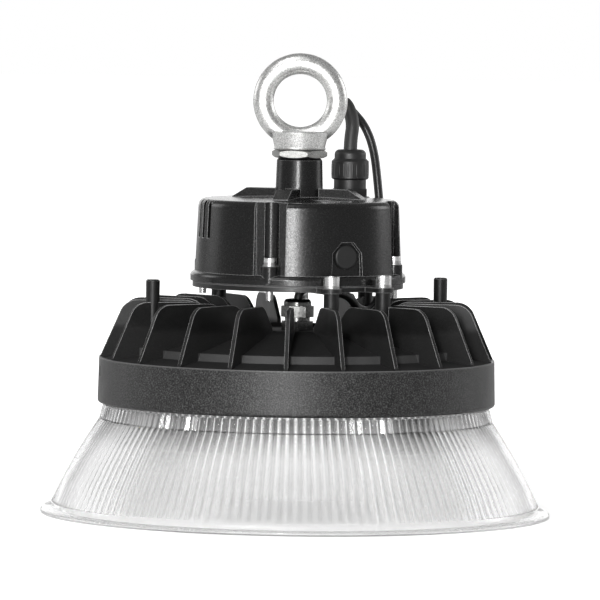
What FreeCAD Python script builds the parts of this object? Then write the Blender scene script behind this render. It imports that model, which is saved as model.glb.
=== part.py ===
import FreeCAD, Part
import math
import os
import Sketcher

# High bay light: an eye bolt and a cast driver housing stand on a round finned heat sink, which
# carries the lamp board, its clear cover, a retaining ring and a fluted refractor skirt.
# Millimetres, +Z up. The origin is on the axis, in the plane that the refractor's rim rests on.
# Angles turn anticlockwise seen from above and start at the front, which is -Y.

Vector = FreeCAD.Vector
SEWING_TOLERANCE = 1e-5

SIZES = [
    # Refractor skirt
    ("rim_radius", 169.8, "outer radius of the skirt's rim"),
    ("rim_thickness", 3.0, "height of the rim's outer edge"),
    ("rim_land", 9.5, "width of the flat underside of the rim"),
    ("foot_inset", 7.3, "how far the flutes' foot stands inside the rim"),
    ("foot_radius", "=rim_radius - foot_inset", "radius over the flutes where they meet the rim"),
    ("foot_height", 7.0, "height where the flutes start"),
    ("bell_height", 62.7, "height where the bell meets the neck"),
    ("bell_rise", "=bell_height - foot_height", "height of the bell"),
    ("bell_curve", 0.001926, "how fast the bell leans in, per millimetre"),
    ("neck_play", 0.7, "how far the flutes stand inside the ring"),
    ("neck_radius", "=ring_inner - neck_play", "radius over the flutes at the neck"),
    ("neck_shoulder", 2.409, "how far the bell stands out from the neck where they meet"),
    ("bell_width", "=foot_radius - neck_radius - neck_shoulder", "lean of the whole bell"),
    ("bell_slope", "=bell_width / bell_rise - bell_curve * bell_rise", "lean at the bell's foot"),
    ("flute_top_height", 72.0, "height where the flutes end"),
    ("flute_depth", 2.0, "depth of a flute at the foot"),
    ("flute_count", 150, "number of flutes"),
    ("flute_bands", 4, "number of conical bands down the bell"),
    ("skirt_wall", 2.6, "wall behind the flutes"),
    ("neck_inset", 3.1, "how far the plain neck stands inside the ring"),
    ("neck_plain_radius", "=ring_inner - neck_inset", "radius of the plain neck in the ring"),
    ("neck_flange_top", 83.9, "top of the skirt's inner flange"),
    ("neck_flange_thickness", 3.2, "thickness of the skirt's inner flange"),
    ("neck_flange_width", 19.9, "width of the skirt's flange"),
    ("neck_flange_inner", "=neck_plain_radius - neck_flange_width", "radius inside the flange"),
    # Retaining ring
    ("ring_wall", 3.0, "thickness of the retaining ring at its foot"),
    ("ring_outer", "=ring_inner + ring_wall", "outer radius of the retaining ring at its foot"),
    ("ring_draft", 0.6, "how much smaller the ring is at its top"),
    ("ring_inner", 129.5, "inner radius of the retaining ring"),
    ("ring_bottom", 73.4, "underside of the retaining ring"),
    ("ring_top", 103.8, "top of the retaining ring"),
    ("ring_edge_round", 2.0, "rounding of the ring's bottom edge"),
    ("ring_screw_height", 95.0, "height of the ring's side screws"),
    ("ring_screw_angle", -81.0, "direction of the first side screw"),
    ("ring_screw_count", 2, "number of side screws"),
    # Heat sink
    ("sink_gap", 0.2, "clearance of the casting in the ring"),
    ("sink_face", 100.0, "face that carries the lamp board"),
    ("sink_ledge", 94.0, "ledge that the lens gasket seals on"),
    ("sink_wall", 4.9, "thickness of the ring and the casting's skirt over the recess"),
    ("sink_recess_radius", "=ring_inner - sink_wall", "radius of the recess that holds the lens"),
    ("sink_ledge_width", 9.1, "width of that ledge"),
    ("sink_ledge_radius", "=sink_recess_radius - sink_ledge_width", "radius inside that ledge"),
    ("sink_foot", 84.0, "underside of the casting's skirt"),
    ("sink_rim_top", 104.0, "top of the casting's rim, under the fins' feet"),
    ("sink_step_inset", 19.5, "how far the step stands inside the ring"),
    ("sink_step_radius", "=ring_inner - sink_step_inset", "radius of the step inside the rim"),
    ("sink_step_low", 107.0, "height at the foot of the step"),
    ("sink_step_high", 112.0, "height at the top of the step"),
    ("sink_well_radius", 53.0, "radius of the open well inside the fins"),
    ("sink_well_height", 124.5, "height of the floor at the well's edge"),
    ("sink_well_floor", 120.5, "height of the well's floor at the hub"),
    ("hub_radius", 24.0, "radius of the hub under the cable gland"),
    ("hub_height", 123.0, "top of the hub"),
    ("fin_count", 22, "number of fins"),
    ("fin_first_angle", -3.0, "direction of the first fin"),
    ("fin_thickness", 2.6, "thickness of a fin"),
    ("fin_overhang", 2.0, "how far the fins' feet stand over the ring"),
    ("fin_outer", "=ring_inner + fin_overhang", "radius of the fins at their feet"),
    ("fin_top", 142.0, "height of the fins"),
    ("fin_lean", 16.5, "how far the fin's outer edge leans in"),
    ("fin_top_outer", "=fin_outer - fin_lean", "radius where the fin's slope would meet its top"),
    ("fin_top_round", 12.2, "rounding of the fin's outer top corner"),
    ("fin_top_inner", 70.0, "radius where the fin's top would meet its inner edge"),
    ("fin_inner_round", 15.0, "rounding of the fin's inner top corner"),
    ("fin_root", 4.0, "depth that a fin runs into the floor"),
    ("tall_post_inset", 27.5, "how far the tall posts stand inside the ring"),
    ("tall_post_radius", "=ring_inner - tall_post_inset", "distance of the tall posts from the axis"),
    ("tall_post_angle", -69.9, "direction of the first tall post"),
    ("tall_post_half", 4.6, "radius of a tall post"),
    ("tall_post_lift", 2.2, "how far the tall posts stand over the base plate"),
    ("tall_post_top", "=plate_top + tall_post_lift", "top of a tall post"),
    ("tall_post_edge", 0.8, "chamfer of a tall post's top"),
    ("tall_post_bore", 2.5, "radius of the threaded bore in a tall post"),
    ("tall_post_bore_depth", 15.0, "depth of that bore"),
    # Posts that carry the driver
    ("seat_radius", 79.6, "distance of the driver's posts from the axis"),
    ("seat_angle_a", 16.1, "direction of post A"),
    ("seat_angle_b", 44.9, "direction of post B"),
    ("seat_angle_c", 145.0, "direction of post C"),
    ("seat_angle_d", 222.0, "direction of post D"),
    ("seat_post_half", 5.0, "radius of a driver post"),
    ("seat_bore_depth", 18.0, "depth of the threaded bore in a driver post"),
    # Driver's base plate, gasket and housing
    ("plate_bottom", 151.6, "underside of the driver's base plate"),
    ("plate_top", 154.8, "top of the base plate"),
    ("plate_radius", 70.2, "radius of the base plate"),
    ("dish_radius", 34.0, "radius of the raised dish over the cable"),
    ("dish_depth", 3.0, "depth of that dish"),
    ("ear_half", 7.0, "radius of a base plate ear"),
    ("ear_hole_gap", 0.3, "radial clearance of a screw in an ear"),
    ("gasket_thickness", 0.8, "thickness of the housing gasket"),
    ("gasket_inner", 57.5, "inner radius of the gasket"),
    ("flange_top", 161.8, "top of the housing flange"),
    ("flange_radius", 71.7, "radius of the housing flange"),
    ("flange_round", 2.6, "rounding of the flange's top edge"),
    ("wall_radius_low", 68.8, "radius of the housing wall at the flange"),
    ("wall_radius_high", 66.7, "radius of the housing wall at the shoulder"),
    ("shoulder_height", 210.0, "top of the housing wall"),
    ("shoulder_round", 4.5, "rounding of the shoulder"),
    ("roof_height", 211.8, "height of the roof at the neck"),
    ("cavity_radius", 56.0, "radius of the housing's cavity"),
    ("cavity_top", 204.0, "ceiling of the housing's cavity"),
    ("neck_half_low", 16.0, "radius of the housing's neck at its foot"),
    ("neck_half_high", 15.2, "radius of the neck at its top"),
    ("neck_top", 237.6, "top of the neck"),
    ("neck_chamfer", 1.5, "chamfer of the neck's top"),
    ("rib_top", 217.3, "top of the roof's ribs"),
    ("rib_flat", 35.0, "reach of a rib's flat top"),
    ("rib_reach", 45.0, "reach of a rib's foot"),
    ("rib_width", 10.5, "width of a roof rib"),
    ("rib_count", 4, "number of roof ribs and cover screws"),
    ("cover_screw_angle", -16.2, "direction of the first cover screw and rib"),
    ("cover_screw_radius", 66.3, "distance of the cover screws from the axis"),
    ("channel_width", 21.5, "width of the channel beside a cover screw"),
    ("channel_floor", 62.6, "distance of the channel's floor from the axis"),
    ("relief_half", 6.2, "radius of the relief above a cover screw"),
    ("boss_top", 168.2, "seat of the cover screws"),
    ("boss_half", 5.6, "radius of a cover screw boss"),
    # Port and side ribs of the housing
    ("port_angle", 28.6, "direction of the port"),
    ("port_lift", 12.8, "height of the port's centre over the flange"),
    ("port_height", "=flange_top + port_lift", "height of the port's centre"),
    ("port_face", 64.4, "distance of the port's flat face from the axis"),
    ("port_width", 23.0, "width of the flat face"),
    ("port_arch_rise", 9.6, "height of the flat face over the port's centre"),
    ("port_arch_top", "=port_height + port_arch_rise", "top of the flat face"),
    ("port_arch_round", 7.0, "rounding of the flat face's upper corners"),
    ("port_bore", 5.4, "radius of the port's bore"),
    ("plug_half", 8.2, "radius of the plug's head"),
    ("plug_head", 2.4, "height of the plug's head"),
    ("pad_width", 17.0, "width of the roof pad above the port"),
    ("pad_height", 3.2, "height of the roof pad above the shoulder"),
    ("side_rib_angle", -69.0, "direction of the middle side groove"),
    ("side_rib_pitch", 7.5, "angle between the side grooves"),
    ("side_rib_count", 3, "number of side grooves"),
    ("side_rib_width", 4.2, "width of a side groove"),
    ("side_rib_depth", 2.6, "depth of a side groove"),
    ("side_rib_bottom", 184.5, "lower end of the side grooves"),
    # Eye bolt and its nut
    ("eye_bore", 17.5, "inner radius of the eye"),
    ("eye_outer", 31.5, "outer radius of the eye"),
    ("eye_centre", 32.7, "height of the eye's centre over the collar's seat"),
    ("collar_half", 17.7, "radius of the eye bolt's collar at its seat"),
    ("collar_lip", 0.8, "height and width of the bead at the collar's foot"),
    ("collar_flare", 1.5, "how much wider the collar is under its top edge"),
    ("collar_edge", 1.0, "bevel of the collar's top edge"),
    ("collar_height", 12.4, "height of the collar"),
    ("thread_half", 8.0, "radius of the eye bolt's thread"),
    ("thread_length", 27.0, "length of the eye bolt's thread"),
    ("thread_gap", 0.05, "radial clearance of a thread in its bore"),
    ("nut_flats", 33.0, "width of the lock nut across its flats"),
    ("nut_thickness", 5.4, "height of the lock nut"),
    ("nut_angle", -14.2, "turn of the lock nut"),
    # Screws
    ("cover_thread", 2.5, "radius of the cover screws' thread"),
    ("cover_head", 4.4, "radius of the cover screws' heads"),
    ("cover_head_height", 3.0, "height of those heads"),
    ("cover_washer", 4.9, "radius of the flat washers"),
    ("cover_washer_thickness", 1.0, "thickness of the flat washers"),
    ("cover_spring_half", 4.2, "radius of the spring washers"),
    ("cover_spring_thickness", 1.5, "thickness of the spring washers"),
    ("cover_screw_end", 6.0, "length of screw under the base plate"),
    ("seat_thread", 3.0, "radius of the driver screws' thread"),
    ("seat_head", 5.4, "radius of the driver screws' heads"),
    ("seat_head_height", 6.0, "height of those heads"),
    ("seat_socket", 2.9, "radius over the corners of the hex sockets"),
    ("seat_socket_depth", 3.0, "depth of the hex sockets"),
    ("seat_washer", 5.6, "radius of the spring washers under them"),
    ("seat_washer_thickness", 1.8, "thickness of those spring washers"),
    ("small_thread", 1.5, "radius of the small screws' thread"),
    ("small_head", 2.8, "radius of the small screws' heads"),
    ("small_head_height", 1.8, "height of the small screws' heads"),
    ("small_grip", 6.0, "depth of thread of a small screw"),
    ("frame_head", 2.5, "radius of the lens frame screws' heads"),
    ("frame_head_depth", 2.0, "depth of the recesses for those heads"),
    # Cable glands
    ("top_gland_x", 34.0, "place of the upper cable gland, to the right"),
    ("top_gland_y", 30.0, "place of the upper cable gland, to the rear"),
    ("top_gland_flats", 22.7, "width of its body across the flats"),
    ("top_gland_hex", 5.0, "height of the body's hexagon"),
    ("top_gland_neck", 10.8, "radius of the body under the nut"),
    ("top_gland_body", 11.3, "height of the body over its seat"),
    ("top_gland_nut_flats", 25.0, "width of the nut's gripped part"),
    ("top_gland_nut", 14.0, "height of the nut's gripped part"),
    ("top_gland_dome", 10.6, "radius of the nut's dome"),
    ("top_gland_dome_height", 6.0, "height of the nut's dome"),
    ("top_gland_thread", 7.9, "radius of the thread through the roof"),
    ("top_gland_pad", 13.2, "radius of the pad under the gland"),
    ("top_gland_seat", 211.2, "height of the gland's seat"),
    ("hub_gland_flats", 21.0, "width of the hub gland's body across its flats"),
    ("hub_gland_hex", 6.0, "height of that hexagon"),
    ("hub_gland_neck", 8.4, "radius of the body under the nut"),
    ("hub_gland_body", 8.4, "height of the body over the hub"),
    ("hub_gland_nut_flats", 19.0, "width of the gland's nut across its flats"),
    ("hub_gland_nut", 7.5, "height of the nut's hexagon"),
    ("hub_gland_dome", 9.2, "radius of the gland nut's dome"),
    ("hub_gland_dome_height", 4.6, "height of the gland nut's dome"),
    ("hub_gland_thread", 7.9, "radius of the thread in the hub"),
    ("hub_gland_depth", 10.0, "length of the thread in the hub"),
    ("seal_half", 5.6, "radius of a gland's rubber seal"),
    ("nut_bevel", 0.9, "bevel of the roof gland's nut at its foot"),
    # Cable
    ("cable_half", 2.9, "radius of the cable"),
    ("cable_gap", 0.15, "radial clearance round the cable"),
    ("sleeve_half", 4.55, "radius of the sleeve"),
    # Driver's inner parts
    ("board_half", 50.0, "radius of the driver's board"),
    ("board_thickness", 1.6, "thickness of the driver's board"),
    ("board_lift", 8.0, "height of the board over the base plate"),
    ("board_post_radius", 43.0, "distance of the board's posts from the axis"),
    ("board_post_half", 3.6, "radius of a board post"),
    ("board_post_angle", 28.8, "direction of the first board post"),
    ("core_length", 34.0, "length of the transformer"),
    ("core_width", 28.0, "width of the transformer"),
    ("core_height", 26.0, "height of the transformer"),
    ("winding_half", 11.0, "radius of the transformer's winding"),
    ("capacitor_half", 9.0, "radius of a capacitor"),
    ("capacitor_height", 30.0, "height of a capacitor"),
    ("capacitor_place", 27.0, "distance of the capacitors from the axis"),
    # Lamp board and lens
    ("pad_sheet", 0.4, "thickness of the thermal pad"),
    ("lamp_board_gap", 3.5, "clearance of the lamp board inside the ledge"),
    ("lamp_board_half", "=sink_ledge_radius - lamp_board_gap", "radius of the lamp board"),
    ("lamp_board_thickness", 1.6, "thickness of the lamp board"),
    ("lamp_side", 5.0, "side of a lamp chip"),
    ("lamp_height", 0.9, "height of a lamp chip"),
    ("lamp_ring_outer", 92.0, "radius of the outer ring of chips"),
    ("lamp_ring_inner", 60.0, "radius of the inner ring of chips"),
    ("lamp_count_outer", 30, "chips in the outer ring"),
    ("lamp_count_inner", 18, "chips in the inner ring"),
    ("lamp_screw_inset", 7.0, "distance of the board's screws from its edge"),
    ("lamp_screw_radius", "=lamp_board_half - lamp_screw_inset", "distance of the board's screws"),
    ("lamp_screw_count", 6, "number of lamp board screws"),
    ("lens_gap", 0.4, "clearance of the lens in its recess"),
    ("lens_radius", "=sink_recess_radius - lens_gap", "radius of the clear lens"),
    ("lens_thickness", 4.0, "thickness of the clear lens"),
    ("lens_gasket_thickness", 2.0, "thickness of the lens gasket"),
    ("frame_width", 14.2, "width of the lens frame"),
    ("frame_inner", "=lens_radius - frame_width", "inner radius of the lens frame"),
    ("frame_screw_inset", 3.8, "distance of the frame's screws from its edge"),
    ("frame_screw_radius", "=lens_radius - frame_screw_inset", "distance of the frame's screws"),
    ("frame_screw_count", 8, "number of frame screws"),
    ("skirt_screw_inset", 13.8, "distance of the skirt's screws from its neck"),
    ("skirt_screw_radius", "=neck_plain_radius - skirt_screw_inset", "distance of those screws"),
    ("skirt_screw_count", 6, "number of skirt screws"),
    ("screw_hole_gap", 0.25, "radial clearance of a small screw's hole"),
]

# The cable's route: up through the roof gland, over behind the eye, down outside the flange,
# between two fins, under the base plate and down into the hub gland. The last stretch turns
# tightly, because only a finger's width lies between the base plate and the gland's nut.
CABLE_ROUTE = [
    (34.0, 30.0, 224.0),
    (34.0, 30.0, 248.0),
    (35.6, 32.0, 260.0),
    (32.5, 38.5, 270.5),
    (27.5, 49.0, 275.5),
    (28.5, 61.0, 274.0),
    (36.0, 69.5, 266.5),
    (44.5, 71.0, 256.5),
    (50.3, 68.5, 241.0),
    (53.3, 63.5, 217.0),
    (56.5, 60.0, 183.0),
    (58.5, 60.5, 160.0),
    (56.5, 57.0, 143.0),
    (48.5, 48.0, 132.5),
    (40.0, 34.0, 135.5),
    (35.5, 17.0, 144.0),
    (27.5, 2.0, 148.0),
    (14.5, -5.0, 150.0),
    (4.4, -1.6, 151.0),
    (0.0, 0.0, 146.3),
    (0.0, 0.0, 139.0),
]
SLEEVE_CORNERS = 3


class Formula:
    """A sheet value or a sum on sheet values: its expression and its present number."""

    def __init__(self, text, value):
        self.text = text
        self.value = value

    def __add__(self, other):
        return Formula(f"({self.text} + {text_of(other)})", self.value + number(other))

    def __sub__(self, other):
        return Formula(f"({self.text} - {text_of(other)})", self.value - number(other))

    def __mul__(self, other):
        return Formula(f"({self.text} * {text_of(other)})", self.value * number(other))

    def __truediv__(self, other):
        return Formula(f"({self.text} / {text_of(other)})", self.value / number(other))

    def __neg__(self):
        return Formula(f"(0 - {self.text})", -self.value)


def text_of(item):
    """The expression of a formula or a plain number."""
    return item.text if isinstance(item, Formula) else repr(float(item))


def number(item):
    """The present number of a formula or a plain number."""
    return item.value if isinstance(item, Formula) else float(item)


def sine(angle):
    return Formula(f"sin({angle.text})", math.sin(math.radians(angle.value)))


def cosine(angle):
    return Formula(f"cos({angle.text})", math.cos(math.radians(angle.value)))


doc = FreeCAD.newDocument("HighBayLight")
sheet = doc.addObject("Spreadsheet::Sheet", "Sizes")
for row, (alias, _, meaning) in enumerate(SIZES, start=1):
    sheet.set(f"A{row}", meaning)
    sheet.setAlias(f"B{row}", alias)
for row, (_, value, _) in enumerate(SIZES, start=1):
    sheet.set(f"B{row}", str(value))
doc.recompute()
SIZE = {alias: Formula(f"Sizes.{alias}", float(sheet.get(alias))) for alias, _, _ in SIZES}


def bind(item, path, formula):
    """Tie a property to the sheet, or set it where the value is a plain number."""
    item.setExpression(path, text_of(formula))


# ---- Helpers for bodies and their features ------------------------------------------------

AXIS_OF_PLANE = {"XY_Plane": Vector(0, 0, 1), "XZ_Plane": Vector(0, 1, 0)}


def new_body(name):
    """A body whose label names its file. It may hold several like solids."""
    body = doc.addObject("PartDesign::Body", name)
    body.Label = name
    body.AllowCompound = True
    return body


def origin_feature(body, role):
    return next(item for item in body.Origin.OriginFeatures if item.Role == role)


def sketch_on(body, name, role="XZ_Plane", shift=(0, 0, 0), turn=0):
    """A sketch on one of the body's own planes, turned about the vertical and shifted."""
    sketch = body.newObject("Sketcher::SketchObject", name)
    sketch.AttachmentSupport = (origin_feature(body, role), [""])
    sketch.MapMode = "FlatFace"
    base = Vector(*[number(part) for part in shift])
    rotation = FreeCAD.Rotation(AXIS_OF_PLANE[role], number(turn) or 0.001)
    sketch.AttachmentOffset = FreeCAD.Placement(base, rotation)
    bind(sketch, ".AttachmentOffset.Rotation.Angle", turn)
    for letter, part in zip("xyz", shift):
        bind(sketch, f".AttachmentOffset.Base.{letter}", part)
    return sketch


def hold(sketch, kind, geometry, point, value):
    """Tie a point of the sketch to its origin by a sheet value."""
    if not isinstance(value, Formula) and value == 0:
        axis = -2 if kind == "DistanceX" else -1
        sketch.addConstraint(Sketcher.Constraint("PointOnObject", geometry, point, axis))
        return
    index = sketch.addConstraint(Sketcher.Constraint(kind, -1, 1, geometry, point, number(value)))
    bind(sketch, f"Constraints[{index}]", value)


def outline(sketch, corners):
    """A closed outline of straight runs, with each corner tied to the sheet both ways."""
    places = [Vector(number(across), number(up), 0) for across, up in corners]
    lines = []
    for index, place in enumerate(places):
        following = places[(index + 1) % len(places)]
        lines.append(sketch.addGeometry(Part.LineSegment(place, following), False))
    for index, line in enumerate(lines):
        following = lines[(index + 1) % len(lines)]
        sketch.addConstraint(Sketcher.Constraint("Coincident", line, 2, following, 1))
    for line, (across, up) in zip(lines, corners):
        hold(sketch, "DistanceX", line, 1, across)
        hold(sketch, "DistanceY", line, 1, up)
    return lines


def circle(sketch, radius, across=0, up=0):
    """A circle tied to the sheet by its centre and radius."""
    centre = Vector(number(across), number(up), 0)
    round_line = sketch.addGeometry(Part.Circle(centre, Vector(0, 0, 1), number(radius)), False)
    hold(sketch, "DistanceX", round_line, 3, across)
    hold(sketch, "DistanceY", round_line, 3, up)
    index = sketch.addConstraint(Sketcher.Constraint("Radius", round_line, number(radius)))
    bind(sketch, f"Constraints[{index}]", radius)


def hexagon(flats, turn=0.0):
    """Corners of a hexagon about the sketch's origin, from its width across the flats."""
    corners = []
    for index in range(6):
        angle = math.radians(60 * index + turn)
        across = flats * (math.cos(angle) / math.sqrt(3))
        up = flats * (math.sin(angle) / math.sqrt(3))
        corners.append((across, up))
    return corners


def revolve(body, name, corners, kind="Revolution", place=(0, 0)):
    """Turn an outline round the vertical line through a place on the ground plan."""
    across, back = place
    shift = (across, 0, -back) if back != 0 else (0, 0, 0)
    sketch = sketch_on(body, f"{name}_outline", shift=shift)
    outline(sketch, corners)
    feature = body.newObject(f"PartDesign::{kind}", name)
    feature.Profile = sketch
    feature.ReferenceAxis = (sketch, ["V_Axis"])
    feature.Angle = 360
    return feature


def prism(body, name, sketch, length, kind="Pad", reverse=False, midplane=False):
    """Push a sketch straight out, as a pad or as a pocket."""
    feature = body.newObject(f"PartDesign::{kind}", name)
    feature.Profile = sketch
    feature.Reversed = reverse
    if midplane:
        feature.SideType = "Symmetric"
    bind(feature, "Length", length)
    return feature


def repeat(body, name, features, count):
    """Copies of the features, evenly spaced round the vertical axis."""
    pattern = body.newObject("PartDesign::PolarPattern", name)
    pattern.Originals = features
    pattern.Axis = (origin_feature(body, "Z_Axis"), [""])
    pattern.Angle = 360
    bind(pattern, "Occurrences", count)
    body.Tip = pattern
    return pattern


def soften(body, name, radius, choose, kind="Fillet"):
    """Round or chamfer the edges that the test picks out."""
    doc.recompute()
    base = body.Tip
    picked = [f"Edge{i}" for i, edge in enumerate(base.Shape.Edges, start=1) if choose(edge)]
    feature = body.newObject(f"PartDesign::{kind}", name)
    feature.Base = (base, picked)
    bind(feature, "Radius" if kind == "Fillet" else "Size", radius)
    return feature


def is_ring_at(radius, height):
    """Picks a full circular edge about the vertical axis by its radius and height."""
    def test(edge):
        curve = edge.Curve
        if not isinstance(curve, Part.Circle):
            return False
        on_axis = math.hypot(curve.Center.x, curve.Center.y) < 0.01
        return on_axis and abs(curve.Radius - radius) < 0.05 and abs(curve.Center.z - height) < 0.05
    return test


def polar(radius, angle):
    """Sheet formulas for a place at a distance and a direction from the front."""
    return radius * sine(angle), -(radius * cosine(angle))


def bores(body, name, radius, places, low, high, kind="Pocket"):
    """Round holes or posts between two heights, at places given as sheet formulas."""
    sketch = sketch_on(body, f"{name}_circles", "XY_Plane", shift=(0, 0, low))
    for across, up in places:
        circle(sketch, radius, across, up)
    return prism(body, name, sketch, high - low, kind, reverse=kind == "Pocket")


def ring_places(radius, angle, count):
    """Places evenly spaced on a circle."""
    total = int(count.value)
    return [polar(radius, angle + 360.0 * index / total) for index in range(total)]


# ---- Refractor, ring and heat sink -------------------------------------------------------


def bell_radius(height):
    """Radius over the flutes, from foot to neck: a parabola in the height over the foot."""
    rise = height - SIZE["foot_height"].value
    lean = SIZE["bell_slope"].value * rise + SIZE["bell_curve"].value * rise ** 2
    return SIZE["foot_radius"].value - lean


def star_wire(radius, height):
    """A ring of flutes: crests and valleys in turn."""
    count = int(SIZE["flute_count"].value)
    depth = SIZE["flute_depth"].value * radius / SIZE["foot_radius"].value
    points = []
    for index in range(2 * count):
        reach = radius - depth * (index % 2)
        angle = math.pi * index / count
        points.append(Vector(reach * math.sin(angle), -reach * math.cos(angle), height))
    return Part.makePolygon(points + points[:1])


def circle_wire(radius, height):
    return Part.Wire([Part.makeCircle(radius, Vector(0, 0, height))])


def build_refractor():
    """The clear skirt: a fluted bell between a plain neck with a flange and a flared rim.

    No pad or pattern makes 150 flutes that lean along a curve in one go, so its faces are
    made here: ruled bands between rings of flutes, and turned faces for all the rest.
    """
    size = {alias: formula.value for alias, formula in SIZE.items()}
    foot, bell, top = size["foot_height"], size["bell_height"], size["flute_top_height"]
    bands = int(size["flute_bands"])
    heights = [foot + (bell - foot) * index / bands for index in range(bands + 1)]
    rings = [(bell_radius(height), height) for height in heights]
    rings.append((size["neck_radius"], top))
    wall = size["skirt_wall"] + size["flute_depth"]
    flare_start = size["foot_radius"] + 0.6
    flange_low = size["neck_flange_top"] - size["neck_flange_thickness"]
    inner_rim = size["rim_radius"] - size["rim_land"]
    inner_neck = size["neck_plain_radius"] - size["skirt_wall"]

    def at(radius, height):
        return Vector(radius, 0, height)

    flare = Part.Arc(
        at(flare_start, foot),
        at(flare_start + 2.0, size["rim_thickness"] + 1.1),
        at(size["rim_radius"] - 1.0, size["rim_thickness"]),
    ).toShape()
    outside = [
        at(size["rim_radius"] - 1.0, size["rim_thickness"]),
        at(size["rim_radius"], size["rim_thickness"] - 1.0),
        at(size["rim_radius"], 0),
        at(inner_rim, 0),
    ]
    inside = [at(radius - wall, height) for radius, height in rings[1:-1]]
    collar = [
        at(inner_neck, top),
        at(inner_neck, flange_low),
        at(size["neck_flange_inner"], flange_low),
        at(size["neck_flange_inner"], size["neck_flange_top"]),
        at(size["neck_plain_radius"], size["neck_flange_top"]),
        at(size["neck_plain_radius"], top),
    ]
    chain = Part.makePolygon(outside + inside + collar)
    turned = []
    for edge in [flare] + chain.Edges:
        turned.extend(edge.revolve(Vector(0, 0, 0), Vector(0, 0, 1), 360).Faces)
    fluted = Part.makeLoft([star_wire(*ring) for ring in rings], False, True).Faces
    lower = Part.Face([circle_wire(flare_start, foot), star_wire(*rings[0])])
    upper = Part.Face([star_wire(*rings[-1]), circle_wire(size["neck_plain_radius"], top)])
    shell = Part.makeShell(turned + fluted + [lower, upper])
    shell.sewShape()
    solid = Part.makeSolid(shell)
    solid.fix(SEWING_TOLERANCE, SEWING_TOLERANCE, 100 * SEWING_TOLERANCE)
    holes = []
    for across, up in ring_places(SIZE["skirt_screw_radius"], SIZE["cover_screw_angle"],
                                  SIZE["skirt_screw_count"]):
        radius = size["small_thread"] + size["screw_hole_gap"]
        start = Vector(across.value, up.value, flange_low - 1)
        holes.append(Part.makeCylinder(radius, size["neck_flange_thickness"] + 2, start))
    refractor = doc.addObject("Part::Feature", "refractor")
    refractor.Label = "refractor"
    refractor.Shape = solid.cut(holes)
    return refractor


def build_retaining_ring():
    """The black ring that covers the joint between the casting and the refractor."""
    body = new_body("retaining_ring")
    outer, top, bottom = SIZE["ring_outer"], SIZE["ring_top"], SIZE["ring_bottom"]
    revolve(body, "band", [
        (SIZE["ring_inner"], bottom),
        (outer, bottom),
        (outer, bottom + SIZE["ring_edge_round"] * 2),
        (outer - SIZE["ring_draft"], top),
        (SIZE["ring_inner"], top),
    ])
    soften(body, "foot_round", SIZE["ring_edge_round"], is_ring_at(outer.value, bottom.value))
    radius = SIZE["small_thread"] * 1.4
    hole = side_circle(body, "screw_hole", radius + SIZE["screw_hole_gap"], SIZE["ring_inner"] - 1)
    sink = side_circle(body, "screw_sink", SIZE["small_head"] * 1.3, outer - 1.7)
    repeat(body, "screw_holes", [hole, sink], SIZE["ring_screw_count"])
    return body


def side_circle(body, name, radius, distance, kind="Pocket", length=10.0):
    """A round hole or stud that runs outwards from a distance, at the side screws' place."""
    angle = SIZE["ring_screw_angle"]
    shift = (distance * sine(angle), 0, distance * cosine(angle))
    sketch = sketch_on(body, f"{name}_circle", "XZ_Plane", shift=shift, turn=angle)
    circle(sketch, radius, 0, SIZE["ring_screw_height"])
    return prism(body, name, sketch, length, kind, reverse=kind == "Pocket")


def build_ring_screws():
    """The side screws: countersunk in the ring, threaded into the casting's skirt."""
    body = new_body("ring_screws")
    tip = SIZE["sink_recess_radius"] + 0.3
    head = SIZE["ring_outer"] - 1.6
    shank = side_circle(body, "shank", SIZE["small_thread"] * 1.4, tip, "Pad", head - tip)
    cap = side_circle(body, "cap", SIZE["small_head"] * 1.2, head, "Pad", 0.9)
    repeat(body, "screws", [shank, cap], SIZE["ring_screw_count"])
    return body


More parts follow.
